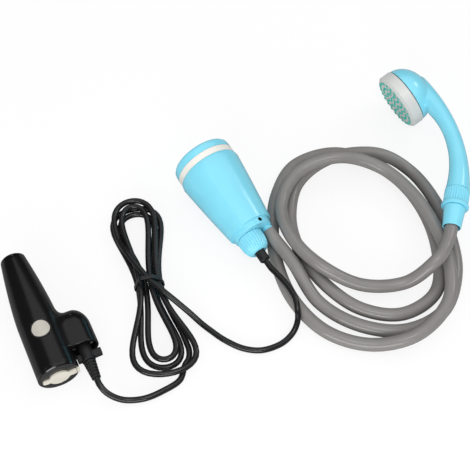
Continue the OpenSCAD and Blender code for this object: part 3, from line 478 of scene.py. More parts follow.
# Points of their routes between the fixed ends, in millimetres of the layout
HOSE_POINTS = [
    (55, -43, 17), (77, -78, 7), (112, -102, 7), (154, -108, 7), (191, -89, 7), (208, -50, 7),
    (208, -8, 7), (198, 34, 7), (177, 70, 9), (143, 84, 20.5), (97, 79, 20.5), (64, 58, 9),
    (54, 17, 7), (62, -23, 7), (83, -58, 7), (115, -85, 7), (154, -91, 7), (187, -68, 7),
    (194, -27, 7), (188, 15, 7), (170, 53, 7), (140, 83, 7), (100, 95, 7), (61, 80, 7),
    (42, 45, 7), (36.5, 4, 6.5), (40, -37, 6.5), (55, -78, 7), (84, -110, 7), (124, -123, 8),
    (164, -117, 17), (194, -86, 21), (200, -44, 20), (191, -3, 20.5), (173, 35, 21),
    (144, 65, 23), (103, 71, 32), (63, 59, 24), (45, 23, 19), (54, -18, 23), (80, -49, 23),
    (118, -63, 12), (159, -61, 13), (186, -48, 32), (198, -29, 34),
]
PACK_LEAD_POINTS = [
    (-113, -170, 11), (-104, -174, 7), (-93, -175, 4), (-78, -173, 4), (-63, -166, 4),
    (-49, -156, 4),
]
PUMP_LEAD_POINTS = [
    (-107.5, -22, 13.6), (-102, -31, 16.8), (-95, -41, 17.6), (-88, -50, 17.6), (-79, -61, 17.6),
    (-68, -71, 17.6), (-56, -80, 14), (-42, -90, 8), (-31, -99, 4), (-21, -107, 3), (-9, -116, 3),
    (7, -124, 3), (24, -126, 3), (41, -120, 3), (52, -110, 4), (57, -100, 9), (57, -91, 15.5),
    (55, -80, 18), (49, -68, 18), (42, -58, 17.5),
]
HOSE_STEPS = 10
CORD_STEPS = 8

# Along the axes of the pump, the nut and the plug, in millimetres
NECK_END = 97.5
COLLAR_END = NECK_END + 4.0
OUTLET_SIDE = 14.2
GLAND_SIDE = -5.5
GLAND_SKIRT = 5.0
GLAND_CROWN = 14.0
BUSH_OUT = 10.0
BUSH_END = NECK_END + GLAND_SKIRT + GLAND_CROWN + BUSH_OUT
BUSH_RUN = 1.5
HOSE_IN_NUT = 22.0
RELIEF_AT = 5.0
RELIEF_LENGTH = 18.0
RELIEF_END = RELIEF_AT - RELIEF_LENGTH

# The hank: turns that spiral in, climb a layer and spiral out again
HANK_FROM = 0.15
HANK_TURNS = 3.5
HANK_TO = HANK_FROM + HANK_TURNS
HANK_MID = HANK_FROM + HANK_TURNS / 2
HANK_STEP = 6.8
HANK_LENGTH = 80.0
HANK_WAIST = 1.0
HANK_BULGE = 34.0
HANK_LIFT = 1.3
CLIMB_TURNS = 0.5
UPPER_NARROW = 14.0
UPPER_LONG = 4.0
LOWER_NARROW = 7.0
LOWER_LEAN = 4.0
LAST_WIDE = 26.0
LAST_LONG = 8.0
RINGS_PER_TURN = 72

# Where the leads run along with the hank, in turns before its start and past its end
JOIN_TURNS = (0.1, 0.07, 0.04, 0)
LEAVE_TURNS = (0, 0.01)


def hank_local(turn):
    """A point of the hank, in millimetres from its middle."""
    out = HANK_STEP * abs(turn - HANK_MID)
    c, s = math.cos(math.tau * turn), math.sin(math.tau * turn)
    upper = smooth_step((turn - HANK_MID) / CLIMB_TURNS + 0.5)
    last = smooth_step((turn - HANK_MID) / CLIMB_TURNS - 0.5)
    wider = -UPPER_NARROW * upper if c < 0 else LAST_WIDE * last - LOWER_NARROW
    longer = UPPER_LONG * upper if c < 0 else LAST_LONG * last
    lean = 0.0 if c < 0 else LOWER_LEAN * c * c
    radius = sizes().cord_diameter / MM / 2
    return Vector((lean + s * (HANK_WAIST + out + (HANK_BULGE + out + wider) * c * c),
                   -(HANK_LENGTH + out + longer) * c, radius + HANK_LIFT + HANK_STEP * upper))


def hank_point(turn):
    """A point of the hank, in millimetres of the layout."""
    return turned(HANK_TURN, "Z") @ hank_local(turn) + HANK_AT


def pump_point(side, along):
    """A point beside the pump's axis, in the frame."""
    return PUMP_FRAME @ (Vector((0, side, along)) * MM)


def plug_point(along):
    """A point on the plug's axis, in the frame."""
    return PACK_FRAME @ (Vector((POD_DROP, -POD_OFFSET, along)) * MM)


class SHOWER_OT_hose(bpy.types.Operator):
    """Lays the hose from the pump's outlet round its coil to the shower head"""

    bl_idname = "shower.hose"
    bl_label = "Hose"

    def execute(self, context):
        diameter = sizes().hose_diameter
        outlet = [pump_point(OUTLET_SIDE, COLLAR_END + run) for run in (0, diameter / MM)]
        nut = [NUT_FOOT + NUT_AXIS * (HOSE_IN_NUT * MM + run) for run in (diameter, 0)]
        route = smooth_route(outlet + laid_out(HOSE_POINTS) + nut, HOSE_STEPS)
        hose = round_line("hose_line", route, diameter, "hose vinyl", ["hose"])
        route_length(route)
        return {"FINISHED"}


class SHOWER_OT_cord(bpy.types.Operator):
    """Lays the cord from the pump's gland through its hank to the plug"""

    bl_idname = "shower.cord"
    bl_label = "Cord"

    def execute(self, context):
        diameter = sizes().cord_diameter
        relief = [plug_point(RELIEF_END - run) for run in (0, diameter / MM)]
        joins = [hank_point(HANK_FROM - back) for back in JOIN_TURNS]
        pack_lead = smooth_route(relief + laid_out(PACK_LEAD_POINTS + joins), CORD_STEPS)
        steps = int(HANK_TURNS * RINGS_PER_TURN)
        hank = [hank_point(HANK_FROM + HANK_TURNS * i / steps) for i in range(steps + 1)]
        leaves = [hank_point(HANK_TO + on) for on in LEAVE_TURNS]
        gland = [pump_point(GLAND_SIDE, BUSH_END + run) for run in (BUSH_RUN * diameter / MM, 0)]
        pump_lead = smooth_route(laid_out(leaves + PUMP_LEAD_POINTS) + gland, CORD_STEPS)
        route = pack_lead + laid_out(hank)[1:] + pump_lead[1:]
        route.reverse()
        cord = round_line("power_cord", route, diameter, "cord jacket",
                          ["lead_to_pack", "cord_hank", "lead_to_pump"])
        route_length(route)
        return {"FINISHED"}


# Battery pack

BARREL_R = 19.0
BARREL_STRAIGHT = 56.0
BARREL_CURVE = 1.5
NOSE_R = 11.6
PACK_LENGTH = 131.0
CASE_FROM = 3.0
CASE_TO = 127.0
CASE_EDGE = 0.35
CASE_STEPS = 224
CASE_WELD = 2e-6
POD_R = 14.0
POD_FROM = 18.0
POD_TO = 59.0
POD_DOME = 19.0
POD_INNER = 19.0
SADDLE = 7.0
CUP_R = 10.2
CUP_MOUTH_R = 12.8
CUP_CHAMFER = 2.2
CUP_TO = 42.0
CUT_PAST = 0.02
BUTTON_AT = 41.0
BUTTON_FLOOR = 9.0
SLEEVE_R = 9.2
LENS_AT = 49.5
LENS_FLOOR = 0.0
LENS_R = 0.85
WELL_TOP = 30.0
WELL_STEPS = 96
PARTING = 0.3

# Stations along the case: its plain end, the pod's rounded rim with its inset at each place, and
# the rest as runs of first place, step and count
PLAIN_STATIONS = (7.0, 12.0, 16.0, POD_FROM)
RIM_ROUND = ((18.0, 0.9), (18.1, 0.45), (18.35, 0.18), (18.9, 0.0))
STATION_RUNS = ((20, 1, 37), (57, 0.25, 24), (63, 1, 16), (80, 3, 16))
STATION_GAP = 2.0

# The heart that the skin is measured from, which goes back to the axis past the pod
CASE_HEART = Vector((5.0, -15.0))
HEART_UNTIL = 63
HEART_FADE = 14
REACH_LIMIT = 64.0
REACH_HALVINGS = 26
POLE_R = 0.001


def barrel_radius(along):
    share = max(0.0, along - BARREL_STRAIGHT) / (PACK_LENGTH - BARREL_STRAIGHT)
    return BARREL_R - (BARREL_R - NOSE_R) * share ** BARREL_CURVE


def blend(first, second, width):
    """The lesser of two distances, with a smooth change from one to the other."""
    overlap = max(width - abs(first - second), 0.0)
    return min(first, second) - overlap * overlap / (4 * width)


def case_distance(down, level, along, barrel, pod_inset):
    """Distance of a point from the case's skin: a barrel with the pod melted into its side."""
    from_barrel = math.hypot(down, level) - barrel
    if pod_inset is None:
        return from_barrel
    beside = max(-POD_OFFSET, min(-POD_INNER, level))
    beyond = max(0.0, along - POD_TO + POD_DOME) * POD_R / POD_DOME
    from_pod = math.hypot(level - beside, down - POD_DROP, beyond) - POD_R + pod_inset
    return blend(from_barrel, from_pod, SADDLE)


def skin_reach(heart, turn, along, barrel, pod_inset):
    """How far the case's skin is from its heart in one direction."""
    low, high = 0.0, REACH_LIMIT
    for _ in range(REACH_HALVINGS):
        middle = (low + high) / 2
        down, level = heart.x + middle * math.cos(turn), heart.y + middle * math.sin(turn)
        if case_distance(down, level, along, barrel, pod_inset) < 0:
            low = middle
        else:
            high = middle
    return low


def case_rings():
    """Each station's place, radius of the barrel and inset of the pod, or none without it."""
    rings = [(CASE_FROM, 0.0, None), (CASE_FROM, BARREL_R - CASE_EDGE, None),
             (CASE_FROM + CASE_EDGE, BARREL_R, None)]
    rings += [(along, BARREL_R, None) for along in PLAIN_STATIONS]
    rings += [(along, BARREL_R, inset) for along, inset in RIM_ROUND]
    curved = [first + i * step for first, step, count in STATION_RUNS for i in range(count)]
    rings += [(along, barrel_radius(along), 0.0) for along in curved]
    end = barrel_radius(CASE_TO)
    return rings + [(CASE_TO - CASE_EDGE, end, 0.0), (CASE_TO, end - CASE_EDGE, 0.0),
                    (CASE_TO, 0.0, 0.0)]


class SHOWER_OT_case(bpy.types.Operator):
    """Models the black case with its socket pod, its button well and its socket well"""

    bl_idname = "shower.case"
    bl_label = "Battery case"

    def execute(self, context):
        shape = self.skin()
        self.part(shape)
        case = new_piece("battery_case", put(shape, PACK_FRAME), "pack", "case plastic",
                         ["pack_upper_shell", "pack_lower_shell"])
        mouth = POD_FROM - CUT_PAST
        cup = lathe([(0, mouth), (CUP_MOUTH_R, mouth), (CUP_R, POD_FROM + CUP_CHAMFER),
                     (CUP_R, CUP_TO), (0, CUP_TO)], WELL_STEPS)
        cut(case, put(cup, POD_FRAME))
        self.well(case, BUTTON_AT, 0.0, SLEEVE_R, BUTTON_FLOOR)
        self.well(case, LENS_AT, -POD_OFFSET, LENS_R, LENS_FLOOR)
        even_out(case)
        return {"FINISHED"}

    def skin(self):
        """A spun shape with one ring for each station, drawn out to the case's skin."""
        rings = case_rings()
        profile = [(max(radius, POLE_R), STATION_GAP * i) for i, (_, radius, _) in enumerate(rings)]
        shape = lathe(profile, CASE_STEPS)
        for vertex in shape.verts:
            along, barrel, pod_inset = rings[round(vertex.co.z / MM / STATION_GAP)]
            turn = math.atan2(vertex.co.y, vertex.co.x)
            heart = CASE_HEART * (1 - smooth_step((along - HEART_UNTIL) / HEART_FADE))
            reach = skin_reach(heart, turn, along, barrel, pod_inset) if barrel > 0 else POLE_R
            across = (heart.x + reach * math.cos(turn), heart.y + reach * math.sin(turn))
            vertex.co = Vector((*across, along)) * MM
        bmesh.ops.remove_doubles(shape, verts=shape.verts, dist=CASE_WELD)
        bmesh.ops.dissolve_degenerate(shape, edges=shape.edges, dist=WELD)
        bmesh.ops.recalc_face_normals(shape, faces=shape.faces)
        return shape

    def part(self, shape):
        """Presses the fine groove where the two halves of the case meet."""
        for down in (-PARTING, 0.0, PARTING):
            geometry = shape.verts[:] + shape.edges[:] + shape.faces[:]
            bmesh.ops.bisect_plane(shape, geom=geometry, dist=FINE_WELD,
                                   plane_co=(down * MM, 0, 0), plane_no=(1, 0, 0))
        shape.normal_update()
        groove = [vertex for vertex in shape.verts if abs(vertex.co.x) < WELD]
        moves = {vertex: vertex.normal * PARTING * MM for vertex in groove}
        for vertex, move in moves.items():
            vertex.co -= move

    def well(self, case, along, level, radius, floor):
        """Sinks a round well from above."""
        shape = lathe([(0, floor), (radius, floor), (radius, WELL_TOP), (0, WELL_TOP)], WELL_STEPS)
        upright = PACK_FRAME @ shift(0, level, along) @ turned(-math.pi / 2, "Y")
        cut(case, put(shape, upright))


# Plug

PLUG_R = 6.3
PLUG_TO = 37.5
PLUG_ROUND = 0.8
PLUG_STEPS = 72
PLUG_SHARP = 40
WING_OUT = 13.5
WING_IN = 9.2
WING_WIDTH = 7.0
WING_FROM = 7.0
WING_LENGTH = 6.0
RELIEF_RIBS = 6
RELIEF_THIN_R = 4.2
RELIEF_STEP = 0.4
RELIEF_GROOVE = 0.9
RELIEF_SHARE = 0.6
RELIEF_ROUND = 0.25


class SHOWER_OT_plug(bpy.types.Operator):
    """Models the moulded plug with its wing, and its ribbed tail"""

    bl_idname = "shower.plug"
    bl_label = "Plug"

    def execute(self, context):
        plug = lathe([(0, RELIEF_AT), (PLUG_R, RELIEF_AT), (PLUG_R, PLUG_TO), (0, PLUG_TO)],
                     PLUG_STEPS)
        wing = bmesh.ops.create_cube(plug, size=MM)["verts"]
        bmesh.ops.scale(plug, vec=(WING_WIDTH, WING_OUT + WING_IN, WING_LENGTH), verts=wing)
        middle = Vector((0, (WING_IN - WING_OUT) / 2, WING_FROM + WING_LENGTH / 2)) * MM
        bmesh.ops.translate(plug, vec=middle, verts=wing)
        soften(plug, PLUG_ROUND, PLUG_SHARP)
        body = new_piece("plug_moulding", put(plug, POD_FRAME), "set", "black rubber",
                         ["plug_body"])
        even_out(body)
        tail = soften(lathe(self.tail_profile(), PLUG_STEPS), RELIEF_ROUND, PLUG_SHARP)
        relief = new_piece("plug_tail", put(tail, POD_FRAME), "set", "black rubber",
                           ["strain_relief"])
        even_out(relief)
        return {"FINISHED"}

    def tail_profile(self):
        pitch = RELIEF_LENGTH / RELIEF_RIBS
        profile = [(0, RELIEF_END)]
        for i in range(RELIEF_RIBS):
            thicker = (PLUG_R - RELIEF_STEP - RELIEF_THIN_R) * i / RELIEF_RIBS
            radius = RELIEF_THIN_R + thicker
            foot = RELIEF_END + i * pitch
            top = foot + RELIEF_SHARE * pitch
            profile += [(radius, foot), (radius, top), (radius - RELIEF_GROOVE, top),
                        (radius - RELIEF_GROOVE, foot + pitch)]
        return profile + [(0, RELIEF_AT)]


# Pump

PUMP_STEPS = 160
SHELL_FROM = 16.5
SHELL_LEAD = 4.0
SHELL_GAP = 0.1
SHELL_FLOOR = 1.2
SHELL_MOUTH_R = 28.8
SHELL_EDGE_R = 30.6
SHELL_R = 31.4
SHELL_BULGE = 0.35
SHELL_SPANS = 12
SHELL_ROUND = 0.9
SHELL_SHARP = 24
SHELL_SEGMENTS = 4
SHOULDER_AT = 91.5
SHOULDER_R = 22.6
SHOULDER_DROP = 1.5
NECK_R = 20.0
NECK_INSET = 0.2
NECK_TAPER = 0.6
VENT_TURN = math.radians(158)
VENT_AT = 93.9
VENT_R = 1.9
VENT_DEPTH = 12.0
VENT_PAST = 4.0
VENT_STEPS = 32
GLAND_R = 13.0
GLAND_BORE_R = 8.2
GLAND_BORE = 8.0
GLAND_LIP = 1.5
GLAND_GAP = 0.2
GLAND_TOP = 18.2
GLAND_SPANS = 14
GLAND_ROUND = 0.35
GLAND_SHARP = 40
GLAND_RIBS = 26
GLAND_RIBS_FROM = 0.6
GLAND_RIBS_TO = 17.5
GLAND_RIBS_FADE = 2.5
BUSH_R = 5.0
BUSH_PLAY = 0.1
RIB_DEPTH = 0.8
STEPS_PER_RIB = 10


class SHOWER_OT_pump(bpy.types.Operator):
    """Models the pump's blue body with its shoulder and neck, and the ribbed cable gland"""

    bl_idname = "shower.pump"
    bl_label = "Pump"

    def execute(self, context):
        shape = lathe(self.body_profile(), PUMP_STEPS)
        soften(shape, SHELL_ROUND, SHELL_SHARP, SHELL_SEGMENTS)
        body = new_piece("pump_body", put(shape, PUMP_FRAME), "set", "blue plastic",
                         ["pump_shell"])
        vent = lathe([(0, -VENT_DEPTH), (VENT_R, -VENT_DEPTH), (VENT_R, VENT_PAST),
                      (0, VENT_PAST)], VENT_STEPS)
        side = turned(VENT_TURN, "Z") @ shift(NECK_R, 0, VENT_AT) @ turned(math.pi / 2, "Y")
        # The vent's walls take the dark socket plastic: painted shade in the hole.
        cut(body, put(vent, PUMP_FRAME @ side), "socket plastic")
        even_out(body)
        self.gland()
        return {"FINISHED"}

    def body_profile(self):
        low, high = SHELL_FROM + SHELL_LEAD, SHOULDER_AT - SHOULDER_DROP
        mouth, floor = SHELL_FROM + SHELL_GAP, SHELL_FROM + SHELL_FLOOR
        profile = [(0, floor), (SHELL_MOUTH_R, floor), (SHELL_MOUTH_R, mouth),
                   (SHELL_EDGE_R, mouth)]
        for i in range(SHELL_SPANS + 1):
            share = i / SHELL_SPANS
            bulge = SHELL_BULGE * math.sin(math.pi * share)
            radius = SHELL_R + (SHOULDER_R - SHELL_R) * share + bulge
            profile.append((radius, low + (high - low) * share))
        return profile + [(SHOULDER_R - NECK_INSET, SHOULDER_AT),
                          (NECK_R - NECK_INSET, SHOULDER_AT), (NECK_R - NECK_TAPER, NECK_END),
                          (0, NECK_END)]

    def gland(self):
        low = NECK_END + GLAND_GAP
        lip = BUSH_R + GLAND_LIP
        hole = BUSH_R + BUSH_PLAY
        profile = [(hole, NECK_END + GLAND_TOP), (hole, low + GLAND_BORE),
                   (GLAND_BORE_R, low + GLAND_BORE), (GLAND_BORE_R, low), (GLAND_R, low)]
        for i in range(GLAND_SPANS + 1):
            angle = math.pi / 2 * i / GLAND_SPANS
            profile.append((lip + (GLAND_R - lip) * math.cos(angle),
                            NECK_END + GLAND_SKIRT + GLAND_CROWN * math.sin(angle)))
        shape = lathe(profile, GLAND_RIBS * STEPS_PER_RIB, ring=True)
        soften(shape, GLAND_ROUND, GLAND_SHARP)
        rib(shape, GLAND_RIBS, RIB_DEPTH, low + GLAND_RIBS_FROM, NECK_END + GLAND_RIBS_TO,
            GLAND_RIBS_FADE)
        gland = new_piece("gland_dome", put(shape, PUMP_FRAME @ shift(0, GLAND_SIDE, 0)), "set",
                          "blue plastic", ["gland_cap"])
        even_out(gland)


# Shower head

FACE_DEPTH = 12.5
HEAD_STEPS = 144
DOME_R = 29.4
DOME_DEPTH = 25.0
DOME_SPANS = 24
SEAM = 0.8
SEAL_INNER_R = 26.5
SEAL_INSET = 0.2
SEAL_LAP = 0.1
HANDLE_BEND = 151.0
HANDLE_START = 20.0
HANDLE_SINK = 10.0
HANDLE_Z = HANDLE_SINK - FACE_DEPTH - DOME_DEPTH
HANDLE_FROM = -8.0
HANDLE_TO = 45.0
HANDLE_WAIST = 19.0
HANDLE_WAIST_R = 8.0
HANDLE_SWELL = 6.0
HANDLE_END_R = 11.6
HANDLE_STEPS = 40
HANDLE_SIDES = 64
SKIN_VOXEL = 0.65
SKIN_PASSES = 6
SKIN_PULL = 0.5


def handle_radius(angle):
    """The handle's radius at an angle of its bend: a swollen root, a waist and a flared end."""
    if angle < HANDLE_WAIST:
        root = (HANDLE_WAIST - angle) / (HANDLE_WAIST - HANDLE_FROM)
        return HANDLE_WAIST_R + HANDLE_SWELL * root ** 2
    flare = (angle - HANDLE_WAIST) / (HANDLE_TO - HANDLE_WAIST)
    return HANDLE_WAIST_R + (HANDLE_END_R - HANDLE_WAIST_R) * flare ** 2


class SHOWER_OT_head(bpy.types.Operator):
    """Models the head's moulding, with the handle flowing out of its dome, and the seam's seal,
    whose black edge is painted shade in the seam
    """

    bl_idname = "shower.head"
    bl_label = "Shower head"

    def execute(self, context):
        shape = self.dome()
        mesh = as_mesh("handle", self.handle())
        shape.from_mesh(mesh)
        bpy.data.meshes.remove(mesh)
        head = new_piece("head_moulding", put(shape, HEAD_FRAME), "set", "blue plastic",
                         ["shower_shell"])
        skin = head.modifiers.new("one skin", "REMESH")
        skin.mode = "VOXEL"
        skin.voxel_size = SKIN_VOXEL * MM
        skin.use_smooth_shade = True
        flow = head.modifiers.new("flow", "SMOOTH")
        flow.factor = SKIN_PULL
        flow.iterations = SKIN_PASSES
        baked(head)
        self.seal()
        return {"FINISHED"}

    def dome(self):
        top = -FACE_DEPTH - SEAM
        profile = [(0, top), (DOME_R, top)]
        for i in range(1, DOME_SPANS + 1):
            angle = math.pi / 2 * i / DOME_SPANS
            profile.append((DOME_R * max(math.cos(angle), 0),
                            -FACE_DEPTH - DOME_DEPTH * math.sin(angle)))
        return lathe(profile, HEAD_STEPS)

    def handle(self):
        """A tube of unit radius round the bend, drawn out to the handle's radius."""
        shape = bmesh.new()
        pivot = Vector((HANDLE_START, 0, HANDLE_Z + HANDLE_BEND)) * MM
        start = (Matrix.Translation(pivot) @ turned(math.radians(-HANDLE_FROM), "Y")
                 @ Matrix.Translation((0, 0, -HANDLE_BEND * MM)) @ turned(math.pi / 2, "Y"))
        bmesh.ops.create_circle(shape, segments=HANDLE_SIDES, radius=MM, matrix=start)
        bmesh.ops.spin(shape, geom=shape.verts[:] + shape.edges[:], cent=pivot, axis=(0, -1, 0),
                       angle=math.radians(HANDLE_TO - HANDLE_FROM), steps=HANDLE_STEPS)
        bmesh.ops.remove_doubles(shape, verts=shape.verts, dist=FINE_WELD)
        for vertex in shape.verts:
            spoke = vertex.co - pivot
            angle = math.atan2(spoke.x, -spoke.z)
            heart = pivot + Vector((math.sin(angle), 0, -math.cos(angle))) * HANDLE_BEND * MM
            vertex.co = heart + (vertex.co - heart) * handle_radius(math.degrees(angle))
        rims = [edge for edge in shape.edges if edge.is_boundary]
        bmesh.ops.holes_fill(shape, edges=rims, sides=0)
        bmesh.ops.recalc_face_normals(shape, faces=shape.faces)
        return shape

    # The black ring is the face gasket drawn out to fill the seam between face and dome, so the
    # seam shows as a dark line: partly the gasket, partly painted shade in the gap.
    def seal(self):
        low, high = -FACE_DEPTH - SEAM - SEAL_LAP, -FACE_DEPTH + SEAL_LAP
        outer = DOME_R - SEAL_INSET
        shape = lathe([(SEAL_INNER_R, low), (outer, low), (outer, high), (SEAL_INNER_R, high)],
                      HEAD_STEPS, ring=True)
        rim = new_piece("seam_seal", put(shape, HEAD_FRAME), "set", "black rubber",
                        ["face_gasket"])


# Hose union

# Profiles of radius and height along the nut's axis
NUT_PROFILE = [
    (9.1, 0.3), (11.9, 0.3), (11.9, 3.0), (11.9, 8.0), (11.9, 14.6), (13.0, 15.9), (13.0, 18.5),
    (6.5, 18.5), (6.5, 16.0), (9.1, 16.0),
]
SLEEVE_PROFILE = [(6.4, 18.9), (10.4, 18.9), (8.7, 39.9), (7.7, 39.9), (6.4, 34.0)]
NUT_RIBS = 28
NUT_RIBS_FROM = 1.2
NUT_RIBS_TO = 14.8
NUT_RIBS_FADE = 0.8
NUT_ROUND = 0.5
NUT_SHARP = 30
NUT_SKIN_R = 11.5
NUT_LONG_EDGE = 3
NUT_CUTS = 5
SLEEVE_ROUND = 0.45
SLEEVE_SHARP = 15
SLEEVE_STEPS = 128


class SHOWER_OT_union(bpy.types.Operator):
    """Models the ribbed nut and the cone over the hose's end"""

    bl_idname = "shower.union"
    bl_label = "Hose union"

    def execute(self, context):
        nut = lathe(NUT_PROFILE, NUT_RIBS * STEPS_PER_RIB, ring=True)
        long_edges = [edge for edge in nut.edges if self.upright(edge)]
        bmesh.ops.subdivide_edges(nut, edges=long_edges, cuts=NUT_CUTS)
        soften(nut, NUT_ROUND, NUT_SHARP)
        rib(nut, NUT_RIBS, RIB_DEPTH, NUT_RIBS_FROM, NUT_RIBS_TO, NUT_RIBS_FADE)
        ring = new_piece("ribbed_nut", put(nut, NUT_FRAME), "nut", "blue plastic", ["union_nut"])
        even_out(ring)
        cone = soften(lathe(SLEEVE_PROFILE, SLEEVE_STEPS, ring=True), SLEEVE_ROUND, SLEEVE_SHARP)
        sleeve = new_piece("hose_sleeve", put(cone, NUT_FRAME), "set", "blue plastic",
                           ["hose_cone"])
        even_out(sleeve)
        return {"FINISHED"}

    def upright(self, edge):
        """Whether an edge runs along the outside, so that ribs need points on it."""
        first, second = (vertex.co for vertex in edge.verts)
        outside = min(first.xy.length, second.xy.length) > NUT_SKIN_R * MM
        return outside and abs(first.z - second.z) > NUT_LONG_EDGE * MM


# Tie round the hank's waist

TIE_WIDTH = 4.0
TIE_PLAY = 0.3
TIE_THICKNESS = 0.8
TIE_ROUND = 0.2
TIE_OVER = 1.1
TIE_STEPS = 40
TIE_STRANDS = 7
TIE_FROM = HANK_FROM + 0.1


class SHOWER_OT_tie(bpy.types.Operator):
    """Wraps the twist tie round the hank's waist"""

    bl_idname = "shower.tie"
    bl_label = "Twist tie"

    def execute(self, context):
        band = new_piece("tie_band", put(self.sleeve(), HANK_FRAME), "set", "tie plastic",
                         ["cord_tie"])
        wall = band.modifiers.new("wall", "SOLIDIFY")
        wall.thickness = TIE_THICKNESS * MM
        wall.offset = 1.0
        edge = band.modifiers.new("edge", "BEVEL")
        edge.width = TIE_ROUND * MM
        edge.segments = 2
        return {"FINISHED"}

    def sleeve(self):
        """A thin skin stretched round the strands, open at both sides."""
        cord_r = sizes().cord_diameter / MM / 2
        strands = [hank_local(TIE_FROM + 0.5 * k) for k in range(TIE_STRANDS)]
        over = cord_r + HANK_LIFT + HANK_STEP + 2 * cord_r + TIE_OVER
        bundle = [(strand.x, strand.z) for strand in strands]
        bundle += [(-TIE_WIDTH, over), (TIE_WIDTH, over)]
        shape = bmesh.new()
        for x, z in bundle:
            for side in (-TIE_WIDTH / 2, TIE_WIDTH / 2):
                across = shift(x, side, z) @ turned(math.pi / 2, "X")
                bmesh.ops.create_circle(shape, segments=TIE_STEPS,
                                        radius=(cord_r + TIE_PLAY) * MM, matrix=across)
        bmesh.ops.delete(shape, geom=shape.edges[:], context="EDGES_FACES")
        bmesh.ops.convex_hull(shape, input=shape.verts)
        shape.normal_update()
        ends = [face for face in shape.faces if abs(face.normal.y) > 0.5]
        bmesh.ops.delete(shape, geom=ends, context="FACES_ONLY")
        loose = [edge for edge in shape.edges if not edge.link_faces]
        bmesh.ops.delete(shape, geom=loose, context="EDGES_FACES")
        stray = [vertex for vertex in shape.verts if not vertex.link_faces]
        bmesh.ops.delete(shape, geom=stray, context="VERTS")
        bmesh.ops.recalc_face_normals(shape, faces=shape.faces)
        return shape


# Finishes of the pieces that come from the solids

NODE_FINISHES = {
    "pack plastic": ["nose_cap", "end_cap"],
    "socket plastic": ["charge_port", "button_switch", "socket_plate", "dc_socket"],
    "cover silicone": ["charge_cover", "cover_anchor"],
    "silver lacquer": ["power_button"],
    "pearl lacquer": ["face_plate"],
    "black rubber": ["button_seal", "plate_seal", "shaft_seal", "cord_seal", "cord_bush",
                     "nut_washer"],
    "cord jacket": ["lead_tail"],
    "board green": ["control_board"],
    "cell wrap": ["battery_cells"],
    "lens": ["indicator_lens"],
    "white plastic": ["cell_cradle", "inlet_ring", "suction_plate", "impeller", "volute",
                      "chamber_plate", "motor_cup", "motor_lid", "riser_tube", "water_divider",
                      "handle_thread"],
    "steel": ["socket_screws", "pack_screws", "plate_screws", "motor_rotor", "motor_can",
              "filter_screen"],
    "blue plastic": ["strainer_cap", "outlet_nipple"],
    "nozzle silicone": ["nozzle_mat"],
    "brass": ["hose_tail"],
}

# Colours of what lies inside
BOARD_GREEN = (0.03, 0.16, 0.08)
CELL_BLUE = (0.06, 0.15, 0.42)
LENS_DARK = (0.01, 0.02, 0.02)
STEEL_GREY = (0.55, 0.55, 0.57)
BRASS_YELLOW = (0.72, 0.48, 0.16)


class SHOWER_OT_finishes(bpy.types.Operator):
    """Mixes the set's finishes and puts them on the solids"""

    bl_idname = "shower.finishes"
    bl_label = "Finishes"

    def execute(self, context):
        tone = context.scene.shower_colours
        recipes = [
            (moulded, "blue plastic", tone.sky_blue, 0.2, 0.3),
            (moulded, "white plastic", tone.band_white, 0.30, 0.2, 0.03),
            (moulded, "pack plastic", tone.pack_black, 0.16, 0.4, 0.2),
            (moulded, "case plastic", tone.pack_black, 0.23, 0.0, 0.2),
            (soft_vinyl, "tie plastic", tone.rubber_black, 0.35),
            (moulded, "socket plastic", tone.rubber_black, 0.42, 0.0, 0.2),
            (soft_vinyl, "black rubber", tone.rubber_black, 0.46),
            (soft_vinyl, "cord jacket", tone.cord_black, 0.20),
            (soft_vinyl, "hose vinyl", tone.hose_grey, 0.24),
            (silver_lacquer, "silver lacquer", tone.silver, 0.2),
            (silver_lacquer, "pearl lacquer", tone.pearl, 0.05),
            (soft_vinyl, "nozzle silicone", tone.nozzle_teal, 0.5),
            (soft_vinyl, "cover silicone", tone.cover_white, 0.58),
            (moulded, "board green", BOARD_GREEN, 0.4, 0.0),
            (moulded, "cell wrap", CELL_BLUE, 0.3, 0.1),
            (moulded, "lens", LENS_DARK, 0.2, 0.3),
            (bare_metal, "steel", STEEL_GREY, 0.3),
            (bare_metal, "brass", BRASS_YELLOW, 0.3),
        ]
        for mix, name, *values in recipes:
            FINISHES[name] = mix(name, *values)
        for name, nodes in NODE_FINISHES.items():
            for node in nodes:
                mesh = frame["nodes"][node].data
                mesh.materials.clear()
                mesh.materials.append(FINISHES[name])
        return {"FINISHED"}


# Studio

# Each softbox's place, the point that it faces and its two sides, in metres
SOFTBOXES = {
    "ceiling": ((0.5, 0.5, 1.5), (0.5, 0.5, 0.0), (2.8, 2.8)),
    "key": ((0.1, -0.5, 1.4), (0.05, 0.0, 0.0), (0.4, 0.4)),
    "front": ((-0.3, -1.3, 0.5), (0.05, 0.0, 0.0), (1.4, 0.5)),
    "side": ((1.5, 0.9, 1.4), (0.1, 0.05, 0.0), (0.5, 0.5)),
}
FLOOR_REACH = 6.0
SENSOR_WIDTH = 36.0
CAMERA_CLIP = (0.01, 50.0)

# The floor as light falls on it, as glossy pieces mirror it, and its even glow in the picture
PAPER_WHITE = 0.93
PAPER_MIRRORED = 0.30
PAPER_GLOW = 0.84


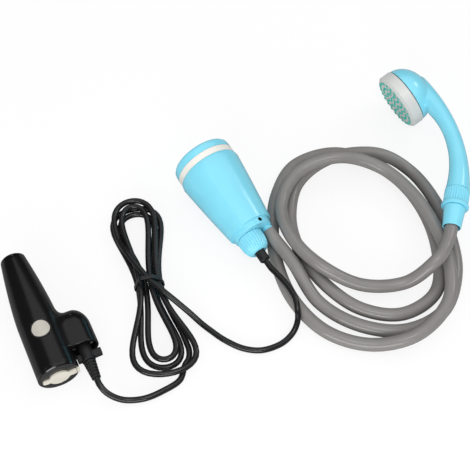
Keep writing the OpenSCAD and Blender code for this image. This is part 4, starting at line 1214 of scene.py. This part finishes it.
class SHOWER_OT_stage(bpy.types.Operator):
    """Sets the pale floor, the studio light and the camera"""

    bl_idname = "shower.stage"
    bl_label = "Studio"

    def execute(self, context):
        settings = context.scene.shower_stage
        context.scene.view_settings.view_transform = "Standard"
        self.floor()
        self.room(context.scene, settings)
        for name, (place, target, size) in SOFTBOXES.items():
            power = getattr(settings, f"{name}_light")
            self.softbox(f"{name} softbox", place, target, size, power)
        self.camera(context.scene, settings)
        return {"FINISHED"}

    def floor(self):
        shape = bmesh.new()
        bmesh.ops.create_grid(shape, x_segments=1, y_segments=1, size=FLOOR_REACH)
        mesh = as_mesh("floor", shape)
        floor = placed("floor", mesh)
        mesh.materials.append(self.paper())

    def paper(self):
        sheet = FinishSheet("floor paper")
        white, grey = ((value, value, value, 1) for value in (PAPER_WHITE, PAPER_MIRRORED))
        paper = sheet.node("ShaderNodeBsdfDiffuse", {}, {"Color": white})
        glow = sheet.node("ShaderNodeEmission", {}, {"Color": (1, 1, 1, 1), "Strength": 1.0})
        dull = sheet.node("ShaderNodeBsdfDiffuse", {}, {"Color": grey})
        mirrored = sheet.node("ShaderNodeLightPath", output="Is Glossy Ray")
        seen = sheet.node("ShaderNodeLightPath", output="Is Camera Ray")
        lit = sheet.node("ShaderNodeMixShader", {}, {0: mirrored, 1: paper, 2: dull})
        sheet.show(sheet.node("ShaderNodeMixShader", {}, {0: seen * PAPER_GLOW, 1: lit, 2: glow}))
        return sheet.material

    def room(self, scene, settings):
        """White to the camera, dim to glossy faces, and an even light to the rest."""
        world = bpy.data.worlds.new("room")
        scene.world = world
        world.use_nodes = True
        tree = world.node_tree
        tree.nodes.clear()
        output = tree.nodes.new("ShaderNodeOutputWorld")
        glow = tree.nodes.new("ShaderNodeBackground")
        path = tree.nodes.new("ShaderNodeLightPath")
        lit = tree.nodes.new("ShaderNodeMix")
        lit.inputs["A"].default_value = settings.room_light
        lit.inputs["B"].default_value = settings.room_reflection
        seen = tree.nodes.new("ShaderNodeMix")
        seen.inputs["B"].default_value = 1.0
        tree.links.new(path.outputs["Is Glossy Ray"], lit.inputs["Factor"])
        tree.links.new(lit.outputs["Result"], seen.inputs["A"])
        tree.links.new(path.outputs["Is Camera Ray"], seen.inputs["Factor"])
        tree.links.new(seen.outputs["Result"], glow.inputs["Strength"])
        tree.links.new(glow.outputs["Background"], output.inputs["Surface"])

    def softbox(self, name, place, target, size, power):
        lamp = bpy.data.lights.new(name, "AREA")
        lamp.shape = "RECTANGLE"
        lamp.size, lamp.size_y = size
        lamp.energy = power
        box = placed(name, lamp)
        box.location = place
        aim = Vector(target) - Vector(place)
        box.rotation_euler = aim.to_track_quat("-Z", "Y").to_euler()

    def camera(self, scene, settings):
        lens = bpy.data.cameras.new("camera")
        lens.lens = settings.lens
        lens.sensor_width = SENSOR_WIDTH
        lens.clip_start, lens.clip_end = CAMERA_CLIP
        camera = placed("camera", lens)
        back = Vector((0, -math.cos(settings.elevation), math.sin(settings.elevation)))
        camera.location = -LAYOUT_CENTRE * MM + back * settings.distance
        camera.rotation_euler = (math.pi / 2 - settings.elevation, 0, 0)
        scene.camera = camera


class SHOWER_PT_panel(bpy.types.Panel):
    """Lists the set's pieces, colours, sizes and lights"""

    bl_idname = "SHOWER_PT_panel"
    bl_label = "Camp shower"
    bl_space_type = "VIEW_3D"
    bl_region_type = "UI"
    bl_category = "Camp Shower"

    def draw(self, context):
        for operator in OPERATORS:
            self.layout.operator(operator.bl_idname)
        for group in GROUPS:
            settings = getattr(context.scene, group)
            for name in settings.__annotations__:
                self.layout.prop(settings, name)


GROUPS = {
    "shower_colours": ShowerColours,
    "shower_sizes": ShowerSizes,
    "shower_stage": StageSettings,
}
OPERATORS = [
    SHOWER_OT_finishes, SHOWER_OT_case, SHOWER_OT_plug, SHOWER_OT_pump, SHOWER_OT_head,
    SHOWER_OT_union, SHOWER_OT_hose, SHOWER_OT_cord, SHOWER_OT_tie, SHOWER_OT_stage,
]


def register():
    for group in GROUPS.values():
        bpy.utils.register_class(group)
    for operator in OPERATORS:
        bpy.utils.register_class(operator)
    bpy.utils.register_class(SHOWER_PT_panel)
    for name, group in GROUPS.items():
        setattr(bpy.types.Scene, name, bpy.props.PointerProperty(type=group))


def unregister():
    for name in GROUPS:
        delattr(bpy.types.Scene, name)
    bpy.utils.unregister_class(SHOWER_PT_panel)
    for operator in reversed(OPERATORS):
        bpy.utils.unregister_class(operator)
    for group in reversed(GROUPS.values()):
        bpy.utils.unregister_class(group)


def main():
    register()
    for operator in OPERATORS:
        group, action = operator.bl_idname.split(".")
        getattr(getattr(bpy.ops, group), action)()


if __name__ == "__main__":
    main()
